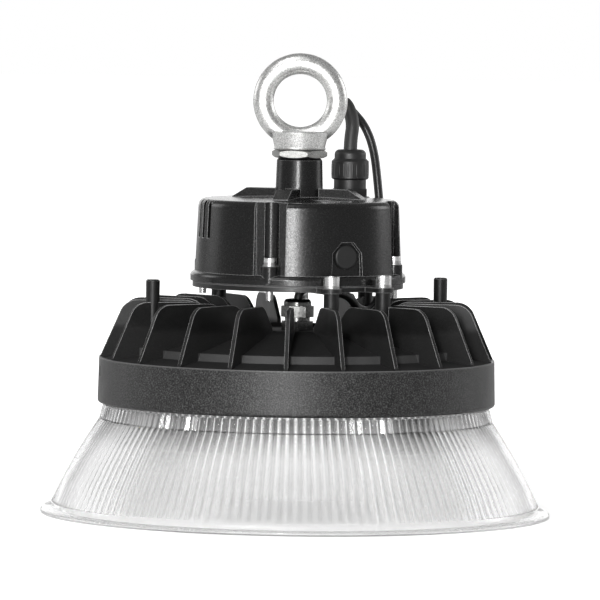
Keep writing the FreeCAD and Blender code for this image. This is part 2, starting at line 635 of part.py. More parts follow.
def build_heat_sink():
    """One casting: a stepped disc with a skirt, the fins, the hub and the posts."""
    body = new_body("heat_sink")
    outer = SIZE["ring_inner"] - SIZE["sink_gap"]
    rim_top, face = SIZE["sink_rim_top"], SIZE["sink_face"]
    thread = SIZE["hub_gland_thread"] + SIZE["thread_gap"]
    revolve(body, "disc", [
        (thread, face),
        (SIZE["sink_ledge_radius"], face),
        (SIZE["sink_ledge_radius"], SIZE["sink_ledge"]),
        (SIZE["sink_recess_radius"], SIZE["sink_ledge"]),
        (SIZE["sink_recess_radius"], SIZE["sink_foot"]),
        (outer, SIZE["sink_foot"]),
        (outer, rim_top),
        (SIZE["sink_step_radius"] + 2.0, SIZE["sink_step_low"]),
        (SIZE["sink_step_radius"], SIZE["sink_step_high"]),
        (SIZE["sink_well_radius"], SIZE["sink_well_height"]),
        (SIZE["sink_well_radius"] - 2.0, SIZE["sink_well_floor"] + 1.5),
        (SIZE["hub_radius"] + 2.0, SIZE["sink_well_floor"]),
        (SIZE["hub_radius"], SIZE["hub_height"]),
        (thread, SIZE["hub_height"]),
    ])
    well, top = SIZE["sink_well_radius"], SIZE["fin_top"]
    fin_sketch = sketch_on(body, "fin_outline", turn=SIZE["fin_first_angle"] - 90.0)
    outline(fin_sketch, [
        (well, SIZE["sink_well_height"] - SIZE["fin_root"]),
        (SIZE["sink_step_radius"], SIZE["sink_step_low"] - SIZE["fin_root"]),
        (outer - 1.0, rim_top - 1.5),
        (outer - 1.0, rim_top),
        (SIZE["fin_outer"], rim_top),
        (SIZE["fin_top_outer"], top),
        (SIZE["fin_top_inner"], top),
        (well, SIZE["sink_well_height"] + 2.5),
    ])
    fin = prism(body, "fin", fin_sketch, SIZE["fin_thickness"], midplane=True)
    repeat(body, "fins", [fin], SIZE["fin_count"])
    soften(body, "fin_shoulders", SIZE["fin_top_round"],
           is_fin_corner(SIZE["fin_top_outer"].value, top.value))
    soften(body, "fin_noses", SIZE["fin_inner_round"],
           is_fin_corner(SIZE["fin_top_inner"].value, top.value))
    tall = ring_places(SIZE["tall_post_radius"], SIZE["tall_post_angle"], Formula("2", 2.0))
    post_top = SIZE["tall_post_top"]
    bores(body, "tall_posts", SIZE["tall_post_half"], tall, face + 2.0, post_top, "Pad")
    soften(body, "tall_post_tops", SIZE["tall_post_edge"],
           lambda edge: edge.Closed and abs(edge.CenterOfMass.z - post_top.value) < 0.05, "Chamfer")
    bores(body, "tall_post_bores", SIZE["tall_post_bore"], tall,
          post_top - SIZE["tall_post_bore_depth"], post_top)
    seats = seat_places()
    bores(body, "seat_posts", SIZE["seat_post_half"], seats, face + 2.0, SIZE["plate_bottom"], "Pad")
    bores(body, "seat_bores", SIZE["seat_thread"] + SIZE["thread_gap"], seats,
          SIZE["plate_bottom"] - SIZE["seat_bore_depth"], SIZE["plate_bottom"])
    small = SIZE["small_thread"] + SIZE["thread_gap"]
    bores(body, "lamp_screw_bores", small, lamp_screw_places(), face,
          face + SIZE["small_grip"])
    bores(body, "frame_screw_bores", small, frame_screw_places(), SIZE["sink_ledge"],
          SIZE["sink_ledge"] + SIZE["small_grip"])
    side = side_circle(body, "side_bore", SIZE["small_thread"] * 1.4 + SIZE["thread_gap"],
                       SIZE["sink_recess_radius"] - 1.0)
    repeat(body, "side_bores", [side], SIZE["ring_screw_count"])
    return body


def is_fin_corner(radius, height):
    """Picks the short edge across a fin at a radius and a height."""
    def test(edge):
        middle = edge.CenterOfMass
        short = edge.Length < SIZE["fin_thickness"].value + 0.1
        reach = abs(math.hypot(middle.x, middle.y) - radius) < 0.1
        return short and reach and abs(middle.z - height) < 0.05
    return test


def seat_places():
    angles = (SIZE[f"seat_angle_{letter}"] for letter in "abcd")
    return [polar(SIZE["seat_radius"], angle) for angle in angles]


def lamp_screw_places():
    return ring_places(SIZE["lamp_screw_radius"], SIZE["ring_screw_angle"],
                       SIZE["lamp_screw_count"])


def frame_screw_places():
    return ring_places(SIZE["frame_screw_radius"], SIZE["ring_screw_angle"] + 22.5,
                       SIZE["frame_screw_count"])


# ---- Lamp board, lens and their screws ---------------------------------------------------


def build_disc(name, outer, low, high, inner=None, holes=None, hole_radius=None):
    """A flat disc or ring with its screw holes."""
    body = new_body(name)
    start = inner if inner is not None else 0
    revolve(body, "disc", [(start, low), (outer, low), (outer, high), (start, high)])
    if holes is not None:
        bores(body, "holes", hole_radius, holes, low, high)
    return body


def build_screws(name, places, seat, head, head_height, thread, length, down=True):
    """A group of like screws. A head lies on its seat, and the thread runs through it."""
    body = new_body(name)
    if down:
        bores(body, "heads", head, places, seat, seat + head_height, "Pad")
        bores(body, "threads", thread, places, seat - length, seat, "Pad")
    else:
        bores(body, "heads", head, places, seat - head_height, seat, "Pad")
        bores(body, "threads", thread, places, seat, seat + length, "Pad")
    return body


def build_lamp_parts():
    """Everything under the casting, from the thermal pad down to the skirt's screws."""
    face, ledge = SIZE["sink_face"], SIZE["sink_ledge"]
    board_top = face - SIZE["pad_sheet"]
    board_low = board_top - SIZE["lamp_board_thickness"]
    hole = SIZE["small_thread"] + SIZE["screw_hole_gap"]
    inner = SIZE["hub_gland_thread"] + SIZE["thread_gap"]
    lens_top = ledge - SIZE["lens_gasket_thickness"]
    lens_low = lens_top - SIZE["lens_thickness"]
    lamp_holes, frame_holes = lamp_screw_places(), frame_screw_places()
    skirt_holes = ring_places(SIZE["skirt_screw_radius"], SIZE["cover_screw_angle"],
                              SIZE["skirt_screw_count"])
    frame = build_disc("lens_frame", SIZE["lens_radius"], SIZE["sink_foot"], lens_low,
                       SIZE["frame_inner"], frame_holes, hole)
    bores(frame, "head_recesses", SIZE["frame_head"] + 0.3, frame_holes, SIZE["sink_foot"],
          SIZE["sink_foot"] + SIZE["frame_head_depth"])
    bores(frame, "skirt_screw_bores", SIZE["small_thread"] + SIZE["thread_gap"], skirt_holes,
          SIZE["sink_foot"], lens_low)
    chips = new_body("lamp_chips")
    low = board_low - SIZE["lamp_height"]
    for word in ("outer", "inner"):
        sketch = sketch_on(chips, f"{word}_chip_outline", "XY_Plane", shift=(0, 0, low))
        half, reach = SIZE["lamp_side"] / 2.0, SIZE[f"lamp_ring_{word}"]
        outline(sketch, [(reach - half, -half), (reach + half, -half),
                         (reach + half, half), (reach - half, half)])
        chip = prism(chips, f"{word}_chip", sketch, SIZE["lamp_height"])
        repeat(chips, f"{word}_chips", [chip], SIZE[f"lamp_count_{word}"])
    grip = SIZE["small_grip"] - 0.5
    return [
        build_disc("thermal_pad", SIZE["lamp_board_half"], board_top, face, inner,
                   lamp_holes, hole),
        build_disc("lamp_board", SIZE["lamp_board_half"], board_low, board_top, inner,
                   lamp_holes, hole),
        chips,
        build_screws("lamp_board_screws", lamp_holes, board_low, SIZE["small_head"],
                     SIZE["small_head_height"], SIZE["small_thread"],
                     face - board_low + grip, down=False),
        build_disc("lens_gasket", SIZE["lens_radius"], lens_top, ledge,
                   SIZE["sink_ledge_radius"] + 0.5, frame_holes, hole),
        build_disc("lens_plate", SIZE["lens_radius"], lens_low, lens_top, None,
                   frame_holes, hole),
        frame,
        build_screws("lens_frame_screws", frame_holes,
                     SIZE["sink_foot"] + SIZE["frame_head_depth"], SIZE["frame_head"],
                     SIZE["frame_head_depth"] - 0.3, SIZE["small_thread"],
                     ledge - SIZE["sink_foot"] - SIZE["frame_head_depth"] + grip, down=False),
        build_screws("refractor_screws", skirt_holes,
                     SIZE["neck_flange_top"] - SIZE["neck_flange_thickness"],
                     SIZE["small_head"], SIZE["small_head_height"], SIZE["small_thread"],
                     SIZE["neck_flange_thickness"] + 3.5, down=False),
    ]


# ---- Driver ------------------------------------------------------------------------------


def cover_places():
    return ring_places(SIZE["cover_screw_radius"], SIZE["cover_screw_angle"], SIZE["rib_count"])


def board_post_places():
    return ring_places(SIZE["board_post_radius"], SIZE["board_post_angle"], Formula("4", 4.0))


def gasket_top():
    return SIZE["plate_top"] + SIZE["gasket_thickness"]


def build_base_plate():
    """The driver's cast floor, with an ear over each heat sink post and posts for the board."""
    body = new_body("driver_base_plate")
    low, top = SIZE["plate_bottom"], SIZE["plate_top"]
    dish, depth = SIZE["dish_radius"], SIZE["dish_depth"]
    revolve(body, "plate", [
        (0, low + depth), (dish - depth, low + depth), (dish, low), (SIZE["plate_radius"], low),
        (SIZE["plate_radius"], top), (dish + 1.0, top), (dish + 1.0 - depth, top + depth),
        (0, top + depth),
    ])
    for letter in "abcd":
        turn = SIZE[f"seat_angle_{letter}"] - 90.0
        sketch = sketch_on(body, f"ear_{letter}_outline", "XY_Plane", shift=(0, 0, low), turn=turn)
        half = SIZE["ear_half"]
        outline(sketch, [(SIZE["plate_radius"] - 8.0, -half), (SIZE["seat_radius"], -half),
                         (SIZE["seat_radius"], half), (SIZE["plate_radius"] - 8.0, half)])
        prism(body, f"ear_{letter}", sketch, top - low)
    bores(body, "ear_ends", SIZE["ear_half"], seat_places(), low, top, "Pad")
    bores(body, "ear_holes", SIZE["seat_thread"] + SIZE["ear_hole_gap"], seat_places(), low, top)
    bores(body, "cover_bores", SIZE["cover_thread"] + SIZE["thread_gap"], cover_places(), low, top)
    posts = board_post_places()
    lift = top + SIZE["board_lift"]
    bores(body, "board_posts", SIZE["board_post_half"], posts, top, lift, "Pad")
    bores(body, "board_bores", SIZE["small_thread"] + SIZE["thread_gap"], posts,
          lift - SIZE["small_grip"], lift)
    return body


def build_housing():
    """The cast driver housing: flange, drafted wall, channels, roof ribs and threaded neck."""
    body = new_body("driver_housing")
    low, top = gasket_top(), SIZE["shoulder_height"]
    bore = SIZE["thread_half"] + SIZE["thread_gap"]
    cavity, ceiling = SIZE["cavity_radius"], SIZE["cavity_top"]
    neck_floor = SIZE["neck_top"] + SIZE["nut_thickness"] - SIZE["thread_length"] - 0.5
    revolve(body, "shell", [
        (cavity, low),
        (SIZE["flange_radius"], low),
        (SIZE["flange_radius"], SIZE["flange_top"]),
        (SIZE["wall_radius_low"], SIZE["flange_top"]),
        (SIZE["wall_radius_high"], top),
        (SIZE["neck_half_low"], SIZE["roof_height"]),
        (SIZE["neck_half_high"], SIZE["neck_top"]),
        (bore, SIZE["neck_top"]),
        (bore, neck_floor),
        (0, neck_floor),
        (0, ceiling),
        (cavity, ceiling),
    ])
    turn = SIZE["cover_screw_angle"] - 90.0
    channel_sketch = sketch_on(body, "channel_outline", "XY_Plane",
                               shift=(0, 0, SIZE["flange_top"]), turn=turn)
    half, floor = SIZE["channel_width"] / 2.0, SIZE["channel_floor"]
    beyond = SIZE["flange_radius"] + 5.0
    outline(channel_sketch, [(floor, -half), (beyond, -half), (beyond, half), (floor, half)])
    channel = prism(body, "channel", channel_sketch, SIZE["rib_top"] - SIZE["flange_top"],
                    "Pocket", reverse=True)
    repeat(body, "channels", [channel], SIZE["rib_count"])
    boss_sketch = sketch_on(body, "boss_circle", "XY_Plane", shift=(0, 0, low + 1.0), turn=turn)
    circle(boss_sketch, SIZE["boss_half"], SIZE["cover_screw_radius"], 0)
    boss = prism(body, "boss", boss_sketch, SIZE["boss_top"] - low - 1.0)
    repeat(body, "bosses", [boss], SIZE["rib_count"])
    relief_sketch = sketch_on(body, "relief_circle", "XY_Plane", shift=(0, 0, SIZE["boss_top"]),
                              turn=turn)
    circle(relief_sketch, SIZE["relief_half"], SIZE["cover_screw_radius"], 0)
    relief = prism(body, "relief", relief_sketch, SIZE["rib_top"] - SIZE["boss_top"],
                   "Pocket", reverse=True)
    repeat(body, "reliefs", [relief], SIZE["rib_count"])
    hole_sketch = sketch_on(body, "cover_hole_circle", "XY_Plane", shift=(0, 0, low), turn=turn)
    circle(hole_sketch, SIZE["cover_thread"] + SIZE["ear_hole_gap"], SIZE["cover_screw_radius"], 0)
    hole = prism(body, "cover_hole", hole_sketch, SIZE["boss_top"] - low, "Pocket", reverse=True)
    repeat(body, "cover_holes", [hole], SIZE["rib_count"])
    soften(body, "shoulder", SIZE["shoulder_round"],
           is_ring_at(SIZE["wall_radius_high"].value, top.value))
    soften(body, "flange_edge", SIZE["flange_round"],
           is_ring_at(SIZE["flange_radius"].value, SIZE["flange_top"].value))
    soften(body, "neck_edge", SIZE["neck_chamfer"],
           is_ring_at(SIZE["neck_half_high"].value, SIZE["neck_top"].value), "Chamfer")
    rib_sketch = sketch_on(body, "rib_outline", turn=turn)
    outline(rib_sketch, [
        (SIZE["neck_half_low"] - 3.0, SIZE["roof_height"] - 3.0),
        (SIZE["rib_reach"], top - 1.0),
        (SIZE["rib_reach"], top + 1.2),
        (SIZE["rib_flat"], SIZE["rib_top"]),
        (SIZE["neck_half_low"] - 3.0, SIZE["rib_top"]),
    ])
    rib = prism(body, "rib", rib_sketch, SIZE["rib_width"], midplane=True)
    repeat(body, "ribs", [rib], SIZE["rib_count"])
    add_port(body)
    add_side_grooves(body)
    add_gland_seat(body)
    return body


def add_port(body):
    """The flat arched face and bore of the port, and the rounded pad on the roof above it."""
    angle, face = SIZE["port_angle"], SIZE["port_face"]
    outward = (face * sine(angle), 0, face * cosine(angle))
    sketch = sketch_on(body, "port_face_outline", shift=outward, turn=angle)
    half, low, top = SIZE["port_width"] / 2.0, SIZE["flange_top"], SIZE["port_arch_top"]
    outline(sketch, [
        (-half, low), (half, low),
        (half - 0.8, top - SIZE["port_arch_round"]),
        (half - SIZE["port_arch_round"], top),
        (-(half - SIZE["port_arch_round"]), top),
        (-(half - 0.8), top - SIZE["port_arch_round"]),
    ])
    prism(body, "port_face", sketch, 10.0, "Pocket", reverse=True)
    bore_sketch = sketch_on(body, "port_bore_circle", shift=outward, turn=angle)
    circle(bore_sketch, SIZE["port_bore"], 0, SIZE["port_height"])
    prism(body, "port_bore", bore_sketch, face - SIZE["cavity_radius"] + 4.0, "Pocket")
    pad_sketch = sketch_on(body, "pad_outline", "XY_Plane",
                           shift=(0, 0, SIZE["shoulder_height"] - 3.0), turn=angle - 90.0)
    half = SIZE["pad_width"] / 2.0
    end = SIZE["wall_radius_high"] - SIZE["shoulder_round"]
    outline(pad_sketch, [
        (SIZE["neck_half_low"] + 6.0, -half), (end - half * 0.6, -half), (end, -half * 0.4),
        (end, half * 0.4), (end - half * 0.6, half), (SIZE["neck_half_low"] + 6.0, half),
    ])
    prism(body, "roof_pad", pad_sketch, SIZE["pad_height"] + 1.0)


def add_side_grooves(body):
    """Vertical grooves down the left of the housing, which leave fine ribs between them."""
    total = int(SIZE["side_rib_count"].value)
    for index in range(total):
        offset = index - (total - 1) / 2.0
        turn = SIZE["side_rib_angle"] + SIZE["side_rib_pitch"] * offset - 90.0
        sketch = sketch_on(body, f"groove_{index}_outline", "XY_Plane",
                           shift=(0, 0, SIZE["side_rib_bottom"]), turn=turn)
        half, floor = SIZE["side_rib_width"] / 2.0, SIZE["wall_radius_high"] - SIZE["side_rib_depth"]
        beyond = SIZE["flange_radius"] + 5.0
        outline(sketch, [(floor, -half), (beyond, -half), (beyond, half), (floor, half)])
        prism(body, f"groove_{index}", sketch, SIZE["rib_top"] - SIZE["side_rib_bottom"],
              "Pocket", reverse=True)


def add_gland_seat(body):
    """A round pad on the roof with the threaded hole for the upper cable gland."""
    place = [(SIZE["top_gland_x"], SIZE["top_gland_y"])]
    seat = SIZE["top_gland_seat"]
    bores(body, "gland_pad", SIZE["top_gland_pad"], place, seat - 4.0, seat, "Pad")
    bores(body, "gland_bore", SIZE["top_gland_thread"] + SIZE["thread_gap"], place,
          SIZE["cavity_top"] - 1.0, seat)
    bores(body, "gland_face", SIZE["top_gland_pad"], place, seat, SIZE["rib_top"])


def build_port_plug():
    """The blind plug of the port: a low domed head and a stem in the bore."""
    body = new_body("port_plug")
    angle, face = SIZE["port_angle"], SIZE["port_face"]
    outward = (face * sine(angle), 0, face * cosine(angle))
    sketch = sketch_on(body, "head_circle", shift=outward, turn=angle)
    circle(sketch, SIZE["plug_half"], 0, SIZE["port_height"])
    prism(body, "head", sketch, SIZE["plug_head"])
    soften(body, "dome", SIZE["plug_head"] * 0.6, is_far_round_edge(SIZE["plug_head"].value))
    stem_sketch = sketch_on(body, "stem_circle", shift=outward, turn=angle)
    circle(stem_sketch, SIZE["port_bore"] - SIZE["thread_gap"], 0, SIZE["port_height"])
    prism(body, "stem", stem_sketch, 8.0, reverse=True)
    return body


def is_far_round_edge(head):
    """Picks the outer edge of the plug's head."""
    def test(edge):
        middle = edge.CenterOfMass
        reach = math.hypot(middle.x, middle.y)
        return reach > SIZE["port_face"].value + head - 0.1 and edge.Closed
    return test


def build_driver_parts():
    """What the housing holds: gasket, board, transformer, capacitors and board screws."""
    top = SIZE["plate_top"]
    board_low = top + SIZE["board_lift"]
    board_top = board_low + SIZE["board_thickness"]
    hole = SIZE["small_thread"] + SIZE["screw_hole_gap"]
    transformer = new_body("driver_transformer")
    sketch = sketch_on(transformer, "core_outline", "XY_Plane", shift=(0, 0, board_top))
    half, deep = SIZE["core_length"] / 2.0, SIZE["core_width"] / 2.0
    outline(sketch, [(-half, -deep), (half, -deep), (half, deep), (-half, deep)])
    prism(transformer, "core", sketch, SIZE["core_height"])
    bores(transformer, "winding", SIZE["winding_half"], [(0, 0)], board_top,
          board_top + SIZE["core_height"] + 3.0, "Pad")
    capacitors = new_body("driver_capacitors")
    reach = SIZE["capacitor_place"]
    bores(capacitors, "cans", SIZE["capacitor_half"], [(-reach, 0), (0, -reach), (reach, 0)],
          board_top, board_top + SIZE["capacitor_height"], "Pad")
    return [
        build_disc("driver_gasket", SIZE["plate_radius"], top, gasket_top(),
                   SIZE["gasket_inner"], cover_places(), SIZE["cover_thread"] + 0.3),
        build_disc("driver_board", SIZE["board_half"], board_low, board_top, None,
                   board_post_places(), hole),
        transformer,
        capacitors,
        build_screws("driver_board_screws", board_post_places(), board_top, SIZE["small_head"],
                     SIZE["small_head_height"], SIZE["small_thread"],
                     SIZE["board_thickness"] + SIZE["small_grip"] - 0.5),
    ]


def build_cover_fasteners():
    """The cover screws with their flat and spring washers."""
    places = cover_places()
    seat = SIZE["boss_top"]
    flat_top = seat + SIZE["cover_washer_thickness"]
    spring_top = flat_top + SIZE["cover_spring_thickness"]
    hole = SIZE["cover_thread"] + SIZE["ear_hole_gap"]
    washers = new_body("cover_washers")
    bores(washers, "flat", SIZE["cover_washer"], places, seat, flat_top, "Pad")
    bores(washers, "spring", SIZE["cover_spring_half"], places, flat_top, spring_top, "Pad")
    bores(washers, "bore", hole, places, seat, spring_top)
    screws = build_screws("cover_screws", places, spring_top, SIZE["cover_head"],
                          SIZE["cover_head_height"], SIZE["cover_thread"],
                          spring_top - SIZE["plate_bottom"] + SIZE["cover_screw_end"])
    return [washers, screws]


def build_seat_fasteners():
    """The socket screws that hold the driver down on its posts, with spring washers."""
    places = seat_places()
    seat = SIZE["plate_top"]
    washer_top = seat + SIZE["seat_washer_thickness"]
    washers = new_body("driver_screw_washers")
    bores(washers, "spring", SIZE["seat_washer"], places, seat, washer_top, "Pad")
    bores(washers, "bore", SIZE["seat_thread"] + SIZE["ear_hole_gap"], places, seat, washer_top)
    screws = build_screws("driver_screws", places, washer_top, SIZE["seat_head"],
                          SIZE["seat_head_height"], SIZE["seat_thread"],
                          washer_top - SIZE["plate_bottom"] + SIZE["seat_bore_depth"] - 2.0)
    head_top = washer_top + SIZE["seat_head_height"]
    sketch = sketch_on(screws, "socket_outline", "XY_Plane",
                       shift=(0, 0, head_top - SIZE["seat_socket_depth"]))
    for across, up in places:
        corners = []
        for index in range(6):
            angle = math.radians(60 * index)
            corners.append((across + SIZE["seat_socket"] * math.cos(angle),
                            up + SIZE["seat_socket"] * math.sin(angle)))
        outline(sketch, corners)
    prism(screws, "socket", sketch, SIZE["seat_socket_depth"], "Pocket", reverse=True)
    return [washers, screws]


# ---- Eye bolt and nut --------------------------------------------------------------------


def build_eye_bolt():
    """The forged eye bolt: a torus on a collar with a threaded shank."""
    seat = SIZE["neck_top"] + SIZE["nut_thickness"]
    top, lip = seat + SIZE["collar_height"], SIZE["collar_lip"]
    widest = SIZE["collar_half"] + SIZE["collar_flare"]
    eye = doc.addObject("Part::Torus", "eye_ring")
    bind(eye, "Radius1", (SIZE["eye_outer"] + SIZE["eye_bore"]) / 2.0)
    bind(eye, "Radius2", (SIZE["eye_outer"] - SIZE["eye_bore"]) / 2.0)
    eye.Placement = FreeCAD.Placement(Vector(0, 0, 0), FreeCAD.Rotation(Vector(1, 0, 0), 90))
    bind(eye, ".Placement.Base.z", seat + SIZE["eye_centre"])
    shank = new_body("eye_shank")
    revolve(shank, "turned_collar", [
        (0, seat - SIZE["thread_length"]),
        (SIZE["thread_half"] - 1.0, seat - SIZE["thread_length"]),
        (SIZE["thread_half"], seat - SIZE["thread_length"] + 1.0),
        (SIZE["thread_half"], seat),
        (SIZE["collar_half"] - lip, seat),
        (SIZE["collar_half"], seat + lip),
        (SIZE["collar_half"] - lip, seat + lip * 2),
        (widest, top - SIZE["collar_edge"]),
        (widest - SIZE["collar_edge"], top),
        (0, top),
    ])
    bolt = doc.addObject("Part::MultiFuse", "eye_bolt")
    bolt.Label = "eye_bolt"
    bolt.Shapes = [eye, shank]
    return bolt


def build_lock_nut():
    """The thin nut that locks the eye bolt, with its corners turned down."""
    low, flats = SIZE["neck_top"], SIZE["nut_flats"]
    top = low + SIZE["nut_thickness"]
    body = new_body("lock_nut")
    sketch = sketch_on(body, "hexagon", "XY_Plane", shift=(0, 0, low), turn=SIZE["nut_angle"])
    outline(sketch, hexagon(flats))
    circle(sketch, SIZE["thread_half"] + SIZE["thread_gap"])
    prism(body, "nut", sketch, SIZE["nut_thickness"])
    corner, face = flats / math.sqrt(3) + 1.0, flats / 2.0 - 0.4
    for name, edge, inward in (("top_turning", top, -1.0), ("low_turning", low, 1.0)):
        slope = edge + (corner - face) * inward * 0.5
        revolve(body, name, [(face, edge), (corner, slope), (corner, edge)], "Groove")
    return body


# ---- Cable glands and cable --------------------------------------------------------------


def build_gland(name, place, seat, depth, nut_flats, body_flats, turned_nut):
    """A cable gland: threaded body, rubber seal and domed nut, from one set of sizes."""
    across, up = place
    prefix = SIZE[f"{name}_hex"], SIZE[f"{name}_body"], SIZE[f"{name}_nut"]
    hex_height, body_height, nut_height = prefix
    thread, neck, dome = (SIZE[f"{name}_{word}"] for word in ("thread", "neck", "dome"))
    seal = SIZE["seal_half"]
    body_top = seat + body_height
    nut_low = body_top + SIZE["thread_gap"]
    nut_top = nut_low + nut_height
    dome_top = nut_top + SIZE[f"{name}_dome_height"]
    cable = SIZE["cable_half"] if name == "hub_gland" else SIZE["sleeve_half"]
    bore = cable + SIZE["cable_gap"]

    base = new_body(f"{name}_body")
    sketch = sketch_on(base, "hexagon", "XY_Plane", shift=(across, up, seat))
    outline(sketch, hexagon(body_flats, 30.0))
    prism(base, "hexagon_pad", sketch, hex_height)
    here = [(across, up)]
    bores(base, "neck", neck, here, seat, body_top, "Pad")
    bores(base, "thread", thread, here, seat - depth, seat, "Pad")
    bores(base, "bore", bore, here, seat - depth, body_top)
    bores(base, "seal_seat", seal + 0.1, here, body_top - 3.0, body_top)

    rubber = new_body(f"{name}_seal")
    bores(rubber, "sleeve", seal, here, body_top - 2.9, dome_top - 0.8, "Pad")
    bores(rubber, "bore", bore, here, body_top - 2.9, dome_top - 0.8)

    nut = new_body(f"{name}_nut")
    if turned_nut:
        grip, bevel = nut_flats / 2.0, SIZE["nut_bevel"]
        revolve(nut, "grip", [
            (seal, nut_low),
            (grip - bevel, nut_low),
            (grip, nut_low + bevel),
            (grip, nut_top - bevel * 2),
            (grip - bevel * 2, nut_top),
            (seal, nut_top),
        ], place=(across, up))
    else:
        grips = sketch_on(nut, "grip_outline", "XY_Plane", shift=(across, up, nut_low))
        outline(grips, hexagon(nut_flats))
        prism(nut, "grip", grips, nut_height)
    bores(nut, "dome", dome, here, nut_top, dome_top, "Pad")
    soften(nut, "dome_round", SIZE[f"{name}_dome_height"] * 0.55,
           lambda edge: edge.Closed and abs(edge.CenterOfMass.z - dome_top.value) < 0.05)
    bores(nut, "bore", seal + 0.1, here, nut_low, dome_top)
    return [base, rubber, nut]


def tube_path(points):
    """Straight runs joined by tangent arcs, each as large as its two runs allow."""
    edges, radii = [], []
    start = points[0]
    for before, corner, after in zip(points, points[1:], points[2:]):
        inward, outward = (corner - before), (after - corner)
        turn = inward.getAngle(outward)
        reach = 0.45 * min(inward.Length, outward.Length)
        radii.append(reach / math.tan(turn / 2))
        first = corner - Vector(inward).normalize() * reach
        last = corner + Vector(outward).normalize() * reach
        bisector = (Vector(outward).normalize() - Vector(inward).normalize()).normalize()
        sagitta = radii[-1] / math.cos(turn / 2) - radii[-1]
        edges.append(Part.LineSegment(start, first).toShape())
        edges.append(Part.Arc(first, corner + bisector * sagitta, last).toShape())
        start = last
    edges.append(Part.LineSegment(start, points[-1]).toShape())
    return Part.Wire(edges), radii


def tube(path, radius):
    """A round solid that follows a path."""
    first = path.Edges[0]
    start = first.Vertexes[0].Point
    heading = first.tangentAt(first.FirstParameter)
    section = Part.Wire([Part.makeCircle(radius, start, heading)])
    return path.makePipeShell([section], True, False)


def build_cable():
    """The captive output cable, and the sleeve over its first stretch."""
    points = [Vector(*point) for point in CABLE_ROUTE]
    path, radii = tube_path(points)
    print("cable radii", [round(radius, 1) for radius in radii], "length", round(path.Length, 1))
    cable = doc.addObject("Part::Feature", "output_cable")
    cable.Label = "output_cable"
    cable.Shape = tube(path, SIZE["cable_half"].value)
    section = math.pi * SIZE["cable_half"].value ** 2
    print("cable volume", round(cable.Shape.Volume), "expected", round(section * path.Length))
    covered = Part.Wire(path.Edges[:2 * SLEEVE_CORNERS])
    bore = SIZE["cable_half"] + SIZE["thread_gap"]
    sleeve = doc.addObject("Part::Feature", "cable_sleeve")
    sleeve.Label = "cable_sleeve"
    sleeve.Shape = tube(covered, SIZE["sleeve_half"].value).cut(tube(covered, bore.value))
    return [cable, sleeve]


NODES = [
    build_refractor(),
    build_retaining_ring(),
    build_ring_screws(),
    build_heat_sink(),
    *build_lamp_parts(),
    build_base_plate(),
    build_housing(),
    build_port_plug(),
    *build_driver_parts(),
    *build_cover_fasteners(),
    *build_seat_fasteners(),
    build_eye_bolt(),
    build_lock_nut(),
    *build_gland("top_gland", (SIZE["top_gland_x"], SIZE["top_gland_y"]), SIZE["top_gland_seat"],
                 SIZE["top_gland_seat"] - SIZE["cavity_top"] + 2.0,
                 SIZE["top_gland_nut_flats"], SIZE["top_gland_flats"], True),
    *build_gland("hub_gland", (0, 0), SIZE["hub_height"], SIZE["hub_gland_depth"],
                 SIZE["hub_gland_nut_flats"], SIZE["hub_gland_flats"], False),
    *build_cable(),
]
doc.recompute()


def check_model():
    """Stop if anything in the document failed, or a piece is empty or not valid."""
    for item in doc.Objects:
        if "Invalid" in item.State or "Error" in item.State:
            raise RuntimeError(f"{item.Label} failed: {item.State}")
    for node in NODES:
        if node.Shape.isNull() or not node.Shape.isValid():
            raise RuntimeError(f"{node.Label} is not a valid shape")


check_model()
os.makedirs("parts", exist_ok=True)
for node in NODES:
    node.Shape.exportStep(os.path.join("parts", f"{node.Label}.step"))
    print(node.Label, len(node.Shape.Solids), round(node.Shape.Volume))
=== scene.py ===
"""Looks of a round high bay light: its finishes, its cable, its small fittings and a studio."""

import functools
import logging
import math
from dataclasses import dataclass, field
from enum import Enum
from typing import Any, Iterable, Sequence

import bpy
import numpy as np
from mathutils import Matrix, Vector


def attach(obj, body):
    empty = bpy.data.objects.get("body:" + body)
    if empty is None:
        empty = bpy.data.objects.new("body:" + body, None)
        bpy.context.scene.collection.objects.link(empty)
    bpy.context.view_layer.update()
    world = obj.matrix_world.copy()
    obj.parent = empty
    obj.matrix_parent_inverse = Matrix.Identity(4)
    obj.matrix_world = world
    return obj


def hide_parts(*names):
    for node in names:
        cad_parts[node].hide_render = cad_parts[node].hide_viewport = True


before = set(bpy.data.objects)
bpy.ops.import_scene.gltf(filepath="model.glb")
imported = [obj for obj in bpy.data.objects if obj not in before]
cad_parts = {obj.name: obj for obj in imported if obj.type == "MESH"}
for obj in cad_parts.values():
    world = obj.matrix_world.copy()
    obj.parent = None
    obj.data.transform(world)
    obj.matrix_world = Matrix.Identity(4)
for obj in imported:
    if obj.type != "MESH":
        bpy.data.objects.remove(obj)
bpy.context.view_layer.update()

log = logging.getLogger("high_bay_light")
Colour = tuple[float, float, float]
Point = tuple[float, float, float]
Span = tuple[float, float]

MM = 0.001
BEVEL_SAMPLES = 6
RING_TOP = 103.6 * MM
SENSOR_WIDTH = 36.0


def grey(level: float) -> Colour:
    """A grey of that level."""
    return (level, level, level)


def lighter(colour: Colour, factor: float, least: float = 0.004) -> Colour:
    """A lighter tone of a colour.

    Args:
        colour: the colour.
        factor: how many times lighter it gets.
        least: what is added to each channel, so that black gets lighter too.

    Returns:
        The lighter colour.
    """
    return tuple(channel * factor + least for channel in colour)


def stand(name: str, data: bpy.types.ID) -> bpy.types.Object:
    """Puts an object in the scene.

    Args:
        name: the object's name.
        data: its mesh, curve, lamp or camera.

    Returns:
        The object.
    """
    made = bpy.data.objects.new(name, data)
    bpy.context.scene.collection.objects.link(made)
    return made


def node(name: str) -> bpy.types.Object:
    """The CAD node of that name."""
    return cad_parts[name]


# ---- Shader maths -------------------------------------------------------------------------


